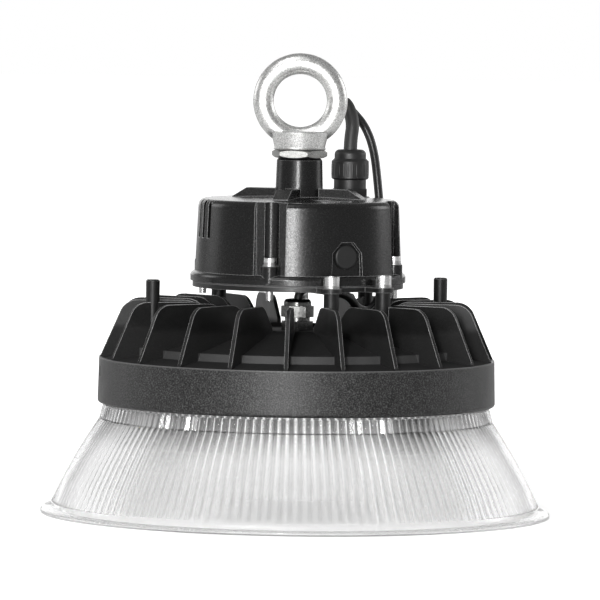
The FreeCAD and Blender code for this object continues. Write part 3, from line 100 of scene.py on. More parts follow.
class Value:
    """A number on a shader socket. Python's operators on it add Math nodes."""

    def __init__(self, tree: "Tree", socket: bpy.types.NodeSocket) -> None:
        """Keeps the tree and the socket.

        Args:
            tree: the node tree that the socket is in.
            socket: an output that carries one number.
        """
        self.tree = tree
        self.socket = socket

    def maths(self, operation: str, *others: Any, clamp: bool = False) -> "Value":
        """Adds one Math node whose first term is this value.

        Args:
            operation: the Math node's operation.
            others: the terms after this value, in the node's order.
            clamp: whether the result is kept between 0 and 1.

        Returns:
            The node's result.
        """
        made = self.tree.node("ShaderNodeMath", {"operation": operation, "use_clamp": clamp},
                              dict(enumerate((self, *others))))
        return Value(self.tree, made.outputs[0])

    def __add__(self, other: Any) -> "Value":
        """Sum."""
        return self.maths("ADD", other)

    def __sub__(self, other: Any) -> "Value":
        """Difference."""
        return self.maths("SUBTRACT", other)

    def __rsub__(self, other: Any) -> "Value":
        """Difference with the value on the right."""
        return self.maths("MULTIPLY_ADD", -1.0, other)

    def __mul__(self, other: Any) -> "Value":
        """Product."""
        return self.maths("MULTIPLY", other)

    def __pow__(self, other: Any) -> "Value":
        """Power."""
        return self.maths("POWER", other)

    def limit(self) -> "Value":
        """The value kept between 0 and 1."""
        return self.maths("ADD", 0.0, clamp=True)

    def ramp(self, low: float, high: float) -> "Value":
        """A soft step: 0 at low, 1 at high, either way round.

        Args:
            low: the value where the result is 0.
            high: the value where the result is 1.

        Returns:
            The stepped value.
        """
        rising = low < high
        made = self.tree.node(
            "ShaderNodeMapRange",
            {"interpolation_type": "SMOOTHSTEP", "clamp": True},
            {"Value": self, "From Min": min(low, high), "From Max": max(low, high),
             "To Min": 0.0 if rising else 1.0, "To Max": 1.0 if rising else 0.0},
        )
        return Value(self.tree, made.outputs[0])


class Tree:
    """A node tree and the means to add nodes to it."""

    def __init__(self, graph: bpy.types.NodeTree) -> None:
        """Keeps the graph that nodes are added to."""
        self.graph = graph

    def first(self, kind: str) -> bpy.types.Node:
        """The first node of that type."""
        return next(each for each in self.graph.nodes if each.type == kind)

    def node(self, kind: str, settings: dict[str, Any] | None = None,
             sockets: dict[Any, Any] | None = None) -> bpy.types.Node:
        """Adds a node.

        Args:
            kind: the node's type.
            settings: properties, set before the sockets.
            sockets: values, numbers or sockets by input name or number.

        Returns:
            The node.
        """
        made = self.graph.nodes.new(kind)
        for key, item in (settings or {}).items():
            setattr(made, key, item)
        for key, item in (sockets or {}).items():
            self.join(made.inputs[key], item)
        return made

    def join(self, target: bpy.types.NodeSocket, item: Any) -> None:
        """Links a value or socket to an input, or sets the input to a constant.

        Args:
            target: the input.
            item: a value, a socket or a constant.
        """
        if isinstance(item, Value):
            item = item.socket
        if isinstance(item, bpy.types.NodeSocket):
            self.graph.links.new(item, target)
        else:
            target.default_value = item

    def seen(self) -> Value:
        """Tells the rays that show the picture from those that only light it.

        Returns:
            1 for rays from the camera, straight or through clear pieces, and 0 for others.
        """
        paths = self.node("ShaderNodeLightPath").outputs
        straight = Value(self, paths["Is Camera Ray"])
        return (straight + Value(self, paths["Is Transmission Ray"])).limit()


class Web(Tree):
    """The node tree of one material, with its shader."""

    def __init__(self, name: str) -> None:
        """Makes the material.

        Args:
            name: the material's name.
        """
        self.material = bpy.data.materials.new(name)
        self.material.use_nodes = True
        super().__init__(self.material.node_tree)
        self.shader = self.first("BSDF_PRINCIPLED")
        self.output = self.first("OUTPUT_MATERIAL")
        self.place = self.node("ShaderNodeTexCoord").outputs["Object"]

    def noise(self, size: float, detail: float = 2.0, roughness: float = 0.5,
              stretch: Point = (1.0, 1.0, 1.0)) -> Value:
        """Noise whose grains are about that size.

        Args:
            size: the size of a grain, in metres.
            detail: octaves of finer noise.
            roughness: strength of the finer octaves.
            stretch: how much faster the noise changes along each axis.

        Returns:
            The noise, about 0.3 to 0.7.
        """
        scaled = self.node("ShaderNodeMapping", None, {"Vector": self.place, "Scale": stretch})
        made = self.node("ShaderNodeTexNoise", None,
                         {"Vector": scaled.outputs[0], "Scale": 1.0 / size, "Detail": detail,
                          "Roughness": roughness})
        return Value(self, made.outputs[0])

    def axis(self, which: str) -> Value:
        """One coordinate of the place, in metres."""
        split = self.node("ShaderNodeSeparateXYZ", None, {0: self.place})
        return Value(self, split.outputs[which])

    def radius(self) -> Value:
        """Distance from the light's axis, in metres."""
        across, along = self.axis("X"), self.axis("Y")
        return (across * across + along * along) ** 0.5

    def rounded(self, radius: float) -> bpy.types.NodeSocket:
        """The normal that faces would have if edges were rounded to that radius."""
        made = self.node("ShaderNodeBevel", {"samples": BEVEL_SAMPLES}, {"Radius": radius})
        return made.outputs[0]

    def edges(self, radius: float, span: Span = (0.02, 0.16)) -> Value:
        """Nearness of a sharp edge: 0 on flat faces and 1 on an edge.

        Args:
            radius: how far from the edge it reaches, in metres.
            span: how far the rounded normal turns from the true one at 0 and at 1.

        Returns:
            The nearness.
        """
        plain = self.node("ShaderNodeNewGeometry").outputs["True Normal"]
        turned = self.node("ShaderNodeVectorMath", {"operation": "DOT_PRODUCT"},
                           {0: self.rounded(radius), 1: plain})
        return (1.0 - Value(self, turned.outputs["Value"])).ramp(*span)

    def flutes(self, count: int) -> Value:
        """A wave round the light's axis: 1 on each flute's crest and 0 in each valley.

        It is half of one plus the cosine of the angle about the axis times the count.
        """
        turn = self.axis("X").maths("ARCTAN2", self.axis("Y"))
        return (turn * float(count)).maths("COSINE") * 0.5 + 0.5

    def blend(self, share: Any, low: Any, high: Any) -> bpy.types.NodeSocket:
        """Mixes two colours.

        Args:
            share: 0 for the low colour, 1 for the high one.
            low: a colour or a colour socket.
            high: a colour or a colour socket.

        Returns:
            The mixed colour.
        """
        made = self.node("ShaderNodeMix", {"data_type": "RGBA"}, {0: share})
        for index, item in ((6, low), (7, high)):
            self.join(made.inputs[index], (*item, 1.0) if isinstance(item, tuple) else item)
        return made.outputs[2]

    def bump(self, height: Value, distance: float, strength: float,
             edge: float) -> bpy.types.NodeSocket:
        """A normal roughened by a height, over edges that look rounded.

        Args:
            height: the height pattern.
            distance: how high a pattern of 1 stands, in metres.
            strength: how much of it shows.
            edge: the radius that edges seem to have, in metres.

        Returns:
            The normal.
        """
        made = self.node("ShaderNodeBump", None,
                         {"Height": height, "Distance": distance, "Strength": strength,
                          "Normal": self.rounded(edge)})
        return made.outputs[0]


# ---- Finishes -----------------------------------------------------------------------------


@dataclass(frozen=True)
class Finish:
    """What every finish has.

    Attributes:
        name: what its material is named after.
        colour: its main colour.
        roughness: how matt it is.
        metallic: 1 for bare metal.
        specular: strength of its plain reflection.
    """

    name: str
    colour: Colour
    roughness: float = 0.5
    metallic: float = 0.0
    specular: float = 0.5

    @functools.cache
    def material(self) -> bpy.types.Material:
        """Makes the finish's material once.

        Returns:
            The material, the same one at each call.
        """
        web = Web(f"{self.name}_finish")
        plain = {"Base Color": (*self.colour, 1.0), "Roughness": self.roughness,
                 "Metallic": self.metallic, "Specular IOR Level": self.specular}
        for key, item in {**plain, **self.pattern(web)}.items():
            web.join(web.shader.inputs[key], item)
        return web.material

    def pattern(self, web: Web) -> dict[str, Any]:
        """What the finish adds or varies over the surface, by shader socket.

        Args:
            web: the material's web.

        Returns:
            What the shader's sockets get, by name.
        """
        raise NotImplementedError

    def dress(self, *pieces: bpy.types.Object) -> None:
        """Gives the finish to pieces, in place of what they have.

        Args:
            pieces: the objects.
        """
        made = self.material()
        for piece in pieces:
            if piece.material_slots:
                for place in piece.material_slots:
                    place.material = made
            else:
                piece.data.materials.append(made)


@dataclass(frozen=True)
class PowderCoat(Finish):
    """A fine-grained matt coat, painted lighter along outer edges: a painted edge highlight,
    partly real rubbing of the coat.

    Attributes:
        grain: size of its grain.
        depth: height of its grain.
        contrast: how many times lighter its grain's tops are.
        speck_span: noise levels of the grain's darkest and lightest parts.
        cloud_size: size of the slow changes in its gloss.
        edge_round: how round its edges look.
        lit_and_rubbed_tone: the lighter tone painted along edges, as a highlight and partly real
            rubbing.
        lit_and_rubbed_share: how much of that tone the edges get.
    """

    grain: float = 0.45 * MM
    depth: float = 0.03 * MM
    contrast: float = 4.0
    speck_span: Span = (0.45, 0.64)
    cloud_size: float = 14.0 * MM
    edge_round: float = 0.45 * MM
    lit_and_rubbed_tone: Colour = grey(0.12)
    lit_and_rubbed_share: float = 0.6

    def lit_and_rubbed_edges(self, web: Web) -> Value:
        """Where the lighter tone is painted as an edge highlight: along sharp edges."""
        return web.edges(self.edge_round)

    def pattern(self, web: Web) -> dict[str, Any]:
        """Speckle, small height and edges painted lighter as a highlight.

        Args:
            web: the material's web.

        Returns:
            What the shader's sockets get, by name.
        """
        speck = web.noise(self.grain, detail=3.0, roughness=0.65)
        cloud = web.noise(self.cloud_size)
        tone = web.blend(speck.ramp(*self.speck_span) * 0.9 + cloud * 0.1, self.colour,
                         lighter(self.colour, self.contrast))
        # edges painted lighter: a painted edge highlight, partly real rubbing of the coat
        return {"Base Color": web.blend(self.lit_and_rubbed_edges(web) * self.lit_and_rubbed_share, tone, self.lit_and_rubbed_tone),
                "Roughness": speck * 0.25 + cloud * 0.15 + (self.roughness - 0.2),
                "Normal": web.bump(speck, self.depth, 0.8, self.edge_round)}


@dataclass(frozen=True)
class SinkCoat(PowderCoat):
    """The heat sink's coat: its fins' outer edges are painted lighter as highlights, and the
    floor's sloping step is painted lit.

    Attributes:
        fin_foot: height of the fins' sloping edges at their feet.
        fin_reach: distance of those edges from the axis at that height.
        fin_lean: how much nearer to the axis they get for each unit of height.
        fin_margin: how far inside those edges the painted edge highlight starts and is full.
        foot_clear: heights between which the painted edge highlight comes in above the fins'
            feet.
        top_clear: heights between which the painted edge highlight comes in on the fins' tops.
        floor_span: heights between which the coat gets duller towards the floor.
        floor_dull: how much duller it gets.
        step_foot: heights between which the floor's sloping step starts.
        step_top: heights between which it ends.
        step_near: distances from the axis between which it starts.
        step_far: distances from the axis between which it ends.
        step_painted_light: how much of the lighter tone is painted on the step, as light falling
            on it.
    """

    fin_foot: float = 104.0 * MM
    fin_reach: float = 131.5 * MM
    fin_lean: float = 16.5 / 38.0
    fin_margin: Span = (4.5 * MM, 3.5 * MM)
    foot_clear: Span = (104.5 * MM, 106.5 * MM)
    top_clear: Span = (126.5 * MM, 128.5 * MM)
    floor_span: Span = (128.0 * MM, 122.0 * MM)
    floor_dull: float = 0.36
    step_foot: Span = (106.6 * MM, 107.2 * MM)
    step_top: Span = (112.4 * MM, 111.8 * MM)
    step_near: Span = (109.5 * MM, 110.2 * MM)
    step_far: Span = (112.6 * MM, 112.0 * MM)
    step_painted_light: float = 0.06

    def lit_and_rubbed_edges(self, web: Web) -> Value:
        """Where edge highlights are painted: along the fins' edges, but not where the fins meet
        the floor.

        Args:
            web: the material's web.

        Returns:
            0 where no highlight is painted and 1 where it is full.
        """
        height = web.axis("Z")
        inside = web.radius() - (self.fin_reach - (height - self.fin_foot) * self.fin_lean)
        start, full = self.fin_margin
        outer = inside.ramp(-start, -full) * height.ramp(*self.foot_clear)
        return super().lit_and_rubbed_edges(web) * (outer + height.ramp(*self.top_clear)).limit()

    def pattern(self, web: Web) -> dict[str, Any]:
        """The powder coat, duller down between the fins, but for the step's sloping face, which
        is painted lighter as lit.

        Args:
            web: the material's web.

        Returns:
            What the shader's sockets get, by name.
        """
        sockets = super().pattern(web)
        height, reach = web.axis("Z"), web.radius()
        lit_step_face = (height.ramp(*self.step_foot) * height.ramp(*self.step_top)
                * reach.ramp(*self.step_near) * reach.ramp(*self.step_far))
        dull = height.ramp(*self.floor_span) * (1.0 - lit_step_face)
        sockets["Roughness"] = sockets["Roughness"] + dull * self.floor_dull
        # painted light: the step's sloping face is painted lighter, as where light falls on it
        sockets["Base Color"] = web.blend(lit_step_face * self.step_painted_light, sockets["Base Color"],
                                          self.lit_and_rubbed_tone)
        return sockets


@dataclass(frozen=True)
class BandCoat(PowderCoat):
    """The ring's coat: a faint line painted lighter along its top edge, a painted highlight."""

    def lit_and_rubbed_edges(self, web: Web) -> Value:
        """Where the highlight is painted: along the ring's top edge."""
        return web.axis("Z").ramp(RING_TOP - 1.0 * MM, RING_TOP)


@dataclass(frozen=True)
class CastPaint(Finish):
    """Satin black paint over a slightly uneven casting, painted lighter along its edges: a
    painted edge highlight, partly real rubbing of the paint.

    Attributes:
        coat: strength of its gloss on top.
        coat_roughness: how matt that gloss is.
        contrast: how many times lighter its specks are.
        peel_size: size of its orange peel.
        speck_size: size of its specks.
        speck_span: noise levels of the darkest and lightest specks.
        depth: height of peel and specks.
        edge_round: how round its edges look.
        edge_reach: how far from an edge the lighter tone is painted.
        lit_and_rubbed_tone: the lighter tone painted along edges, as a highlight and partly real
            rubbing.
        lit_and_rubbed_share: how much of that tone the edges get.
    """

    coat: float = 0.1
    coat_roughness: float = 0.22
    contrast: float = 5.0
    peel_size: float = 1.1 * MM
    speck_size: float = 0.35 * MM
    speck_span: Span = (0.48, 0.66)
    depth: float = 0.09 * MM
    edge_round: float = 0.8 * MM
    edge_reach: float = 0.7 * MM
    lit_and_rubbed_tone: Colour = grey(0.34)
    lit_and_rubbed_share: float = 0.8

    def pattern(self, web: Web) -> dict[str, Any]:
        """Orange peel, fine speckle, a faint clear coat and edges painted lighter as a highlight.

        Args:
            web: the material's web.

        Returns:
            What the shader's sockets get, by name.
        """
        peel = web.noise(self.peel_size, roughness=0.6)
        speck = web.noise(self.speck_size, roughness=0.6)
        tone = web.blend(speck.ramp(*self.speck_span) * 0.6, self.colour,
                         lighter(self.colour, self.contrast))
        # edges painted lighter: a painted edge highlight, partly real rubbing of the paint
        tone = web.blend(web.edges(self.edge_reach) * self.lit_and_rubbed_share, tone, self.lit_and_rubbed_tone)
        height = peel * 0.6 + speck * 0.4
        return {"Base Color": tone, "Coat Weight": self.coat,
                "Coat Roughness": self.coat_roughness,
                "Roughness": peel * 0.3 + (self.roughness - 0.15),
                "Normal": web.bump(height, self.depth, 0.8, self.edge_round)}


@dataclass(frozen=True)
class Plated(Finish):
    """Plated metal: spangled grain, of another tone in its pits.

    Attributes:
        spangle: size of its grain.
        dark: its tone in the pits.
        pits: how much the pits show.
        pit_span: noise levels outside and inside the pits.
        depth: how deep the pits are.
        edge_round: how round its edges look.
    """

    metallic: float = 1.0
    spangle: float = 0.9 * MM
    dark: Colour = (0.26, 0.26, 0.25)
    pits: float = 0.5
    pit_span: Span = (0.62, 0.36)
    depth: float = 0.06 * MM
    edge_round: float = 0.3 * MM

    def pattern(self, web: Web) -> dict[str, Any]:
        """Spangles, pits and cloudy gloss.

        Args:
            web: the material's web.

        Returns:
            What the shader's sockets get, by name.
        """
        pits = web.noise(self.spangle, detail=3.0, roughness=0.7)
        cloud = web.noise(self.spangle * 9.0)
        return {"Base Color": web.blend(pits.ramp(*self.pit_span) * self.pits, self.colour,
                                        self.dark),
                "Roughness": cloud * 0.3 + pits * 0.2 + (self.roughness - 0.25),
                "Normal": web.bump(pits, self.depth, 0.9, self.edge_round)}


@dataclass(frozen=True)
class Moulded(Finish):
    """Moulded plastic or rubber, with a faint texture.

    Attributes:
        grain: size of its texture.
        depth: height of its texture.
        cloud_size: size of the slow changes in its gloss.
        edge_round: how round its edges look.
    """

    grain: float = 0.5 * MM
    depth: float = 0.02 * MM
    cloud_size: float = 8.0 * MM
    edge_round: float = 0.3 * MM

    def pattern(self, web: Web) -> dict[str, Any]:
        """A faint grain and uneven gloss.

        Args:
            web: the material's web.

        Returns:
            What the shader's sockets get, by name.
        """
        grain = web.noise(self.grain, roughness=0.6)
        cloud = web.noise(self.cloud_size)
        return {"Base Color": web.blend(grain * 0.5, self.colour,
                                        lighter(self.colour, 1.6, 0.006)),
                "Roughness": cloud * 0.16 + (self.roughness - 0.08),
                "Normal": web.bump(grain, self.depth, 0.6, self.edge_round)}


@dataclass(frozen=True)
class Clear(Finish):
    """A clear moulding that lets light through.

    Attributes:
        ior: its index of refraction.
        flow_size: size of its flow marks.
        flow_stretch: how the flow marks are drawn out along the light's axis.
    """

    ior: float = 1.49
    flow_size: float = 9.0 * MM
    flow_stretch: Point = (1.0, 1.0, 0.3)

    def pattern(self, web: Web) -> dict[str, Any]:
        """Clear body with faint flow marks in its gloss.

        Args:
            web: the material's web.

        Returns:
            What the shader's sockets get, by name.
        """
        flow = web.noise(self.flow_size, stretch=self.flow_stretch)
        return {"Transmission Weight": 1.0, "IOR": self.ior,
                "Roughness": flow * 0.08 + (self.roughness - 0.04)}


@dataclass(frozen=True)
class FlutedClear(Clear):
    """The clear skirt's moulding, with painted light and shade: light lines painted on the
    flutes' tops, greyer flanks as painted shade, and more painted shade towards its top.

    Attributes:
        painted_crest_light: the lighter tone painted as light lines on the flutes' tops, also
            used at the rim.
        painted_neck_shade: the darker tone painted as shade towards the skirt's top, where the
            parts above block the light.
        neck_span: heights between which that painted shade comes in.
        neck_share: how much of it comes in.
        flute_count: flutes round the skirt.
        crest_span: where on a flute's side the painted light line starts and is full, from 0 to
            1.
        rim_span: heights between which the rim's tone comes in.
        soft_edge: how round the flutes' edges look.
    """

    painted_crest_light: Colour = grey(1.0)
    painted_neck_shade: Colour = grey(0.17)
    neck_span: Span = (42.0 * MM, 70.0 * MM)
    neck_share: float = 0.9
    flute_count: int = 150
    crest_span: Span = (0.60, 0.90)
    rim_span: Span = (9.0 * MM, 6.0 * MM)
    soft_edge: float = 0.9 * MM

    def pattern(self, web: Web) -> dict[str, Any]:
        """Painted light lines on the flutes' tops, over a tone that is greyer towards the top as
        painted shade.

        Args:
            web: the material's web.

        Returns:
            What the shader's sockets get, by name.
        """
        sockets = super().pattern(web)
        height = web.axis("Z")
        # painted shade: greyer towards the skirt's top, where the parts above block the light
        body = web.blend(height.ramp(*self.neck_span) * self.neck_share, self.colour, self.painted_neck_shade)
        # painted light lines on the flutes' tops; the flanks keep the greyer tone as painted
        # shade
        painted_crest_lines = web.flutes(self.flute_count).ramp(*self.crest_span)
        rim = height.ramp(*self.rim_span)
        sockets["Base Color"] = web.blend((painted_crest_lines + rim).limit(), body, self.painted_crest_light)
        sockets["Normal"] = web.rounded(self.soft_edge)
        return sockets


@dataclass(frozen=True)
class Board(Finish):
    """A circuit board: solder mask with faint tracks under it.

    Attributes:
        track: its tone over a track.
        track_size: how far apart the tracks lie.
        track_stretch: how the tracks are drawn out along one axis.
    """

    track: Colour = (0.5, 0.5, 0.48)
    track_size: float = 5.0 * MM
    track_stretch: Point = (0.3, 2.0, 1.0)

    def pattern(self, web: Web) -> dict[str, Any]:
        """Tracks as thin stripes that noise breaks up.

        Args:
            web: the material's web.

        Returns:
            What the shader's sockets get, by name.
        """
        stripes = web.noise(self.track_size, 1.0, 0.4, self.track_stretch)
        return {"Base Color": web.blend(stripes.ramp(0.55, 0.6) * 0.3, self.colour, self.track),
                "Roughness": stripes * 0.2 + (self.roughness - 0.1)}


class Palette(Enum):
    """The light's finishes."""

    SINK = SinkCoat("fin_powder_coat", grey(0.003), roughness=0.42, specular=0.28,
                    lit_and_rubbed_tone=grey(0.55), lit_and_rubbed_share=0.85)
    BAND = BandCoat("band_powder_coat", grey(0.003), roughness=0.38, specular=0.30,
                    grain=0.8 * MM, depth=0.20 * MM, contrast=20.0)
    HOUSING = CastPaint("housing_paint", grey(0.003), roughness=0.24, specular=0.30, coat=0.12)
    PLATE = CastPaint("plate_paint", grey(0.004), roughness=0.36, specular=0.32)
    ZINC = Plated("zinc_plating", (0.88, 0.88, 0.87), roughness=0.34, spangle=0.8 * MM,
                  dark=(0.24, 0.24, 0.235), pits=0.7, depth=0.12 * MM)
    STEEL = Plated("nut_plating", (0.38, 0.38, 0.37), roughness=0.32, spangle=0.7 * MM,
                   dark=(0.12, 0.12, 0.115), pits=0.7, depth=0.10 * MM)
    BRIGHT = Plated("bright_plating", grey(0.80), roughness=0.28, spangle=0.5 * MM, pits=0.45,
                    depth=0.05 * MM)
    DULL = Plated("dull_plating", grey(0.42), roughness=0.36, spangle=0.5 * MM)
    DARK_STEEL = Plated("blackened_plating", grey(0.05), roughness=0.45, pits=0.3)
    # painted shade: the nickel is darkened for the dark well under the driver plate that it
    # reflects
    SHADED_NICKEL = Plated("shaded_nickel_plating", (0.17, 0.17, 0.167), roughness=0.24, spangle=2.0 * MM,
                    dark=(0.06, 0.06, 0.058), depth=0.02 * MM)
    PLASTIC = Moulded("black_moulding", grey(0.008), roughness=0.42, specular=0.4)
    SLEEVE = Moulded("sleeve_tube", grey(0.020), roughness=0.48, specular=0.4, grain=0.7 * MM,
                     depth=0.06 * MM)
    JACKET = Moulded("cable_jacket", grey(0.010), roughness=0.34, specular=0.4, grain=1.5 * MM)
    GASKET = Moulded("gasket_rubber", grey(0.05), roughness=0.6)
    RUBBER = Moulded("black_rubber", grey(0.02), roughness=0.7)
    SEAL = Moulded("silicone_seal", (0.42, 0.42, 0.41), roughness=0.55)
    SKIRT = FlutedClear("clear_skirt", grey(0.86), roughness=0.13)
    LENS = Clear("clear_lens", grey(0.94), roughness=0.06)
    WHITE_BOARD = Board("white_board", (0.78, 0.78, 0.76), roughness=0.4)
    GREEN_BOARD = Board("green_board", (0.02, 0.12, 0.05), roughness=0.35,
                        track=(0.05, 0.2, 0.09))
    CHIP = Moulded("lamp_phosphor", (0.78, 0.62, 0.12), roughness=0.4)
    PAD = Moulded("thermal_sheet", (0.28, 0.30, 0.33), roughness=0.8)
    CORE = Moulded("transformer_tape", (0.05, 0.045, 0.04))
    CAN = Moulded("capacitor_sleeve", (0.02, 0.025, 0.06), roughness=0.35)

    def dress(self, *pieces: bpy.types.Object) -> None:
        """Gives this finish to pieces."""
        self.value.dress(*pieces)


# ---- Sub-assemblies -----------------------------------------------------------------------


@dataclass
class OutputCable:
    """The cable from the roof's gland, over behind the eye, to the gland on the hub.

    Its line is a spline of the second degree whose control points are the route's corners.

    Attributes:
        diameter: the cable's diameter.
        length: the length of its centre line; not used.
        along: steps between two corners of the route.
        around: steps round a quarter of the section.
        route: the corners, in millimetres.
    """

    diameter: float = 5.8 * MM
    length: float = 0.3203
    along: int = 12
    around: int = 6
    route: Sequence[Point] = (
        (34.0, 30.0, 224.0), (34.0, 30.0, 248.0), (35.6, 32.0, 260.0), (32.5, 38.5, 270.5),
        (27.5, 49.0, 275.5), (28.5, 61.0, 274.0), (36.0, 69.5, 266.5), (44.5, 71.0, 256.5),
        (50.3, 68.5, 241.0), (53.3, 63.5, 217.0), (56.5, 60.0, 183.0), (58.5, 60.5, 160.0),
        (56.5, 57.0, 143.0), (48.5, 48.0, 132.5), (40.0, 34.0, 135.5), (35.5, 17.0, 144.0),
        (27.5, 2.0, 148.0), (14.5, -5.0, 150.0), (4.4, -1.6, 151.0), (0.0, 0.0, 146.3),
        (0.0, 0.0, 139.0),
    )

    def curve(self, name: str, bevel: float) -> bpy.types.Object:
        """The route as one open spline with a round section.

        Args:
            name: the object's name.
            bevel: the section's radius, in metres.

        Returns:
            The curve object.
        """
        data = bpy.data.curves.new(name, "CURVE")
        data.dimensions = "3D"
        data.resolution_u = self.along
        data.bevel_depth = bevel
        data.bevel_resolution = self.around
        data.use_fill_caps = True
        spline = data.splines.new("NURBS")
        spline.points.add(len(self.route) - 1)
        for point, place in zip(spline.points, self.route):
            point.co = (*(c * MM for c in place), 1.0)
        spline.order_u = 3
        spline.use_endpoint_u = True
        return stand(name, data)

    def build(self) -> None:
        cable = self.curve("cable_lead", self.diameter / 2)
        Palette.JACKET.dress(cable)
        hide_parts("output_cable")
        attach(cable, "root")
        Palette.SLEEVE.dress(node("cable_sleeve"))
        log.info("cable: one spline of %d points", len(self.route))


@dataclass
class NutGrips:
    """Low ridges round the gripped part of the roof gland's nut.

    A ridge is half an ellipse in plan: across a share u from -1 to 1 its height over the nut
    is rise * sqrt(1 - u * u), and it fades to nothing at both of its ends.

    Attributes:
        place: where the nut's axis stands.
        radius: the nut's radius.
        low: height of the ridges' lower ends.
        high: height of their upper ends.
        rise: how far they stand out.
        root: how deep their sides start inside the nut.
        count: how many there are.
        share: how much of the nut's round they cover.
        fade_power: how suddenly they fade at their ends.
        steps: faces across one.
        levels: faces along one.
    """

    place: tuple[float, float] = (34.0 * MM, 30.0 * MM)
    radius: float = 12.5 * MM
    low: float = 224.1 * MM
    high: float = 233.8 * MM
    rise: float = 0.22 * MM
    root: float = 0.05 * MM
    count: int = 24
    share: float = 0.5
    fade_power: int = 8
    steps: int = 8
    levels: int = 6

    def build(self) -> None:
        """Makes the ridges as one mesh."""
        rows, wide = self.levels + 1, self.steps + 1
        across = np.linspace(-1.0, 1.0, wide)
        up = np.linspace(0.0, 1.0, rows)
        fade = np.sqrt(np.clip(1.0 - (2.0 * up - 1.0) ** self.fade_power, 0.0, 1.0))
        height = self.rise * np.sqrt(np.clip(1.0 - across ** 2, 0.0, 1.0))
        reach = self.radius - self.root + np.outer(fade, height)
        level = np.outer(self.low + (self.high - self.low) * up, np.ones(wide))
        corner = (np.arange(self.levels)[:, None] * wide + np.arange(self.steps)).ravel()
        quads = np.stack((corner, corner + 1, corner + wide + 1, corner + wide), axis=-1)
        points, faces = [], []
        for ridge in range(self.count):
            middle = 2.0 * math.pi * (ridge + 0.5) / self.count
            angle = middle + across * self.share * math.pi / self.count
            grid = np.stack((self.place[0] + reach * np.cos(angle),
                             self.place[1] + reach * np.sin(angle), level), axis=-1)
            points += grid.reshape(-1, 3).tolist()
            faces += (quads + ridge * rows * wide).tolist()
        mesh = bpy.data.meshes.new("nut_grips")
        mesh.from_pydata(points, [], faces)
        mesh.polygons.foreach_set("use_smooth", [True] * len(mesh.polygons))
        made = stand("nut_grips", mesh)
        Palette.PLASTIC.dress(made)
        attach(made, "root")
        log.info("nut grips: %d faces", len(faces))


@dataclass
class PlainNodes:
    """CAD nodes whose shapes are right as they are, by finish."""

    finishes: dict[Palette, tuple[str, ...]] = field(default_factory=lambda: {
        Palette.SINK: ("heat_sink",),
        Palette.BAND: ("retaining_ring", "lens_frame"),
        Palette.HOUSING: ("driver_housing",),
        Palette.PLATE: ("driver_base_plate",),
        Palette.ZINC: ("eye_bolt",),
        Palette.STEEL: ("lock_nut",),
        Palette.BRIGHT: ("driver_screws", "cover_screws"),
        Palette.DULL: ("driver_screw_washers", "cover_washers", "lamp_board_screws",
                       "lens_frame_screws", "refractor_screws", "driver_board_screws"),
        Palette.DARK_STEEL: ("ring_screws",),
        Palette.SHADED_NICKEL: ("hub_gland_body", "hub_gland_nut"),
        Palette.PLASTIC: ("top_gland_body", "top_gland_nut", "port_plug"),
        Palette.RUBBER: ("top_gland_seal", "hub_gland_seal"),
        Palette.SEAL: ("lens_gasket",),
        Palette.GASKET: ("driver_gasket",),
        Palette.SKIRT: ("refractor",),
        Palette.LENS: ("lens_plate",),
        Palette.WHITE_BOARD: ("lamp_board",),
        Palette.GREEN_BOARD: ("driver_board",),
        Palette.CHIP: ("lamp_chips",),
        Palette.PAD: ("thermal_pad",),
        Palette.CORE: ("driver_transformer",),
        Palette.CAN: ("driver_capacitors",),
    })

    def build(self) -> None:
        """Dresses every node."""
        for finish, names in self.finishes.items():
            finish.dress(*(node(name) for name in names))
            log.info("%s on %s", finish.value.name, ", ".join(names))


# ---- Studio -------------------------------------------------------------------------------


@dataclass(frozen=True)
class Lamp:
    """A rectangular soft lamp that neither the camera nor a clear piece shows.

    Attributes:
        name: the lamp's name.
        place: where it stands.
        size: its width and height.
        power: its power in watts.
    """

    name: str
    place: Point
    size: tuple[float, float]
    power: float

    def build(self, aim: Point) -> None:
        """Makes the lamp.

        Args:
            aim: what it faces.
        """
        data = bpy.data.lights.new(self.name, "AREA")
        data.shape = "RECTANGLE"
        data.size, data.size_y = self.size
        data.energy = self.power
        made = stand(self.name, data)
        made.visible_camera = False
        made.visible_transmission = False
        made.location = self.place
        line = Vector(aim) - Vector(self.place)
        made.rotation_euler = line.to_track_quat("-Z", "Y").to_euler()


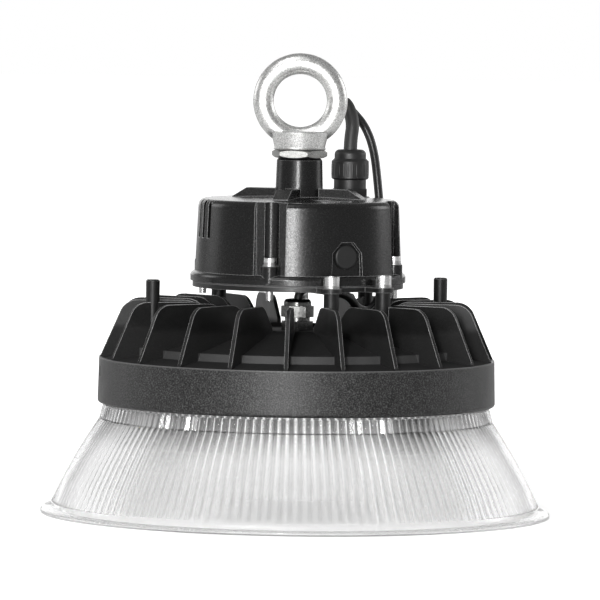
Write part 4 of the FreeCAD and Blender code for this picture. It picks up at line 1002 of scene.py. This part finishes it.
@dataclass
class Studio:
    """A white floor and surroundings, six soft lamps and the camera.

    Attributes:
        aim: what the camera faces.
        station: where it stands.
        frame_width: width of its picture at the light's axis.
        roll_degrees: how far it is turned about its line.
        view_end: how far it sees.
        floor_half: half the floor's width.
        floor_tones: the floor's darkest and lightest tones.
        floor_roughness: how matt the floor is.
        mottle_size: size of the patches in those tones.
        glow_reach: distances from the axis at which the floor's glow is least and full.
        glow_near: the glow near the light.
        glow_rise: how much it rises away from it.
        level: how bright the surroundings are as a lamp.
        lamp_aim: what the lamps face.
        lamps: the lamps.
    """

    aim: Point = (0.0016, 0.0, 0.1427)
    station: Point = (0.0016, -4.5, 0.399)
    frame_width: float = 0.400
    roll_degrees: float = 0.785
    view_end: float = 60.0
    floor_half: float = 12.0
    floor_tones: tuple[Colour, Colour] = (grey(0.80), grey(0.84))
    floor_roughness: float = 0.9
    mottle_size: float = 0.4
    glow_reach: Span = (0.25, 1.6)
    glow_near: float = 0.45
    glow_rise: float = 0.45
    level: float = 0.35
    lamp_aim: Point = (0.0, 0.0, 0.16)
    lamps: Sequence[Lamp] = (
        Lamp("strip_lamp", (-0.28, -2.5, 0.55), (0.16, 1.0), 52.0),
        Lamp("key_lamp", (-1.0, -2.3, 0.8), (0.3, 0.5), 15.0),
        Lamp("left_lamp", (-2.2, 0.9, 0.8), (0.9, 1.1), 9.0),
        Lamp("right_lamp", (2.2, 0.9, 0.8), (0.9, 1.1), 12.0),
        Lamp("high_lamp", (-0.6, -0.9, 2.1), (1.0, 1.0), 12.0),
        Lamp("back_lamp", (0.0, 2.6, 0.7), (3.0, 1.2), 14.0),
    )

    def camera(self) -> None:
        """A long lens far in front and a little above, turned slightly about its line."""
        data = bpy.data.cameras.new("camera")
        made = stand("camera", data)
        line = Vector(self.aim) - Vector(self.station)
        made.location = self.station
        made.rotation_euler = line.to_track_quat("-Z", "Y").to_euler()
        made.rotation_euler.rotate_axis("Z", math.radians(self.roll_degrees))
        data.sensor_width = SENSOR_WIDTH
        data.lens = SENSOR_WIDTH * line.length / self.frame_width
        data.clip_end = self.view_end
        bpy.context.scene.camera = made

    def floor(self) -> None:
        """A wide floor under the rim, whose glow shows but doesn't light the object."""
        half = self.floor_half
        mesh = bpy.data.meshes.new("floor")
        mesh.from_pydata([(-half, -half, 0), (half, -half, 0), (half, half, 0), (-half, half, 0)],
                         [], [(0, 1, 2, 3)])
        made = stand("floor", mesh)
        web = Web("studio_floor")
        web.join(web.shader.inputs["Base Color"],
                 web.blend(web.noise(self.mottle_size), *self.floor_tones))
        web.join(web.shader.inputs["Roughness"], self.floor_roughness)
        bright = web.radius().ramp(*self.glow_reach) * self.glow_rise + self.glow_near
        glow = web.node("ShaderNodeEmission", None, {"Color": (*grey(1.0), 1.0),
                                                     "Strength": web.seen() * bright})
        both = web.node("ShaderNodeAddShader", None,
                        {0: web.shader.outputs[0], 1: glow.outputs[0]})
        web.join(web.output.inputs[0], both.outputs[0])
        made.data.materials.append(web.material)

    def world(self) -> None:
        """White surroundings that light the object at a plain level."""
        world = bpy.data.worlds.new("surroundings")
        world.use_nodes = True
        bpy.context.scene.world = world
        tree = Tree(world.node_tree)
        back = tree.first("BACKGROUND").inputs
        tree.join(back["Color"], (*grey(1.0), 1.0))
        tree.join(back["Strength"], tree.seen() * (1.0 - self.level) + self.level)

    def build(self) -> None:
        """Sets the floor, the surroundings and the lamps."""
        self.floor()
        self.world()
        for lamp in self.lamps:
            lamp.build(self.lamp_aim)
        log.info("studio: floor, surroundings, %d lamps", len(self.lamps))


def write_sizes() -> None:
    """Defines a helper that turns a box into plain lists; it writes nothing."""
    def plain(box: Iterable[Iterable[float]]) -> list[list[float]]:
        """A box as plain lists."""
        return [[float(c) for c in corner] for corner in box]


def main() -> None:
    """Builds the camera and the cable first, then every sub-assembly and the studio."""
    logging.basicConfig(level=logging.INFO, format="%(message)s")
    bpy.context.scene.view_settings.view_transform = "Standard"
    studio = Studio()
    studio.camera()
    OutputCable().build()
    PlainNodes().build()
    NutGrips().build()
    studio.build()
    write_sizes()


if __name__ == "__main__":
    main()
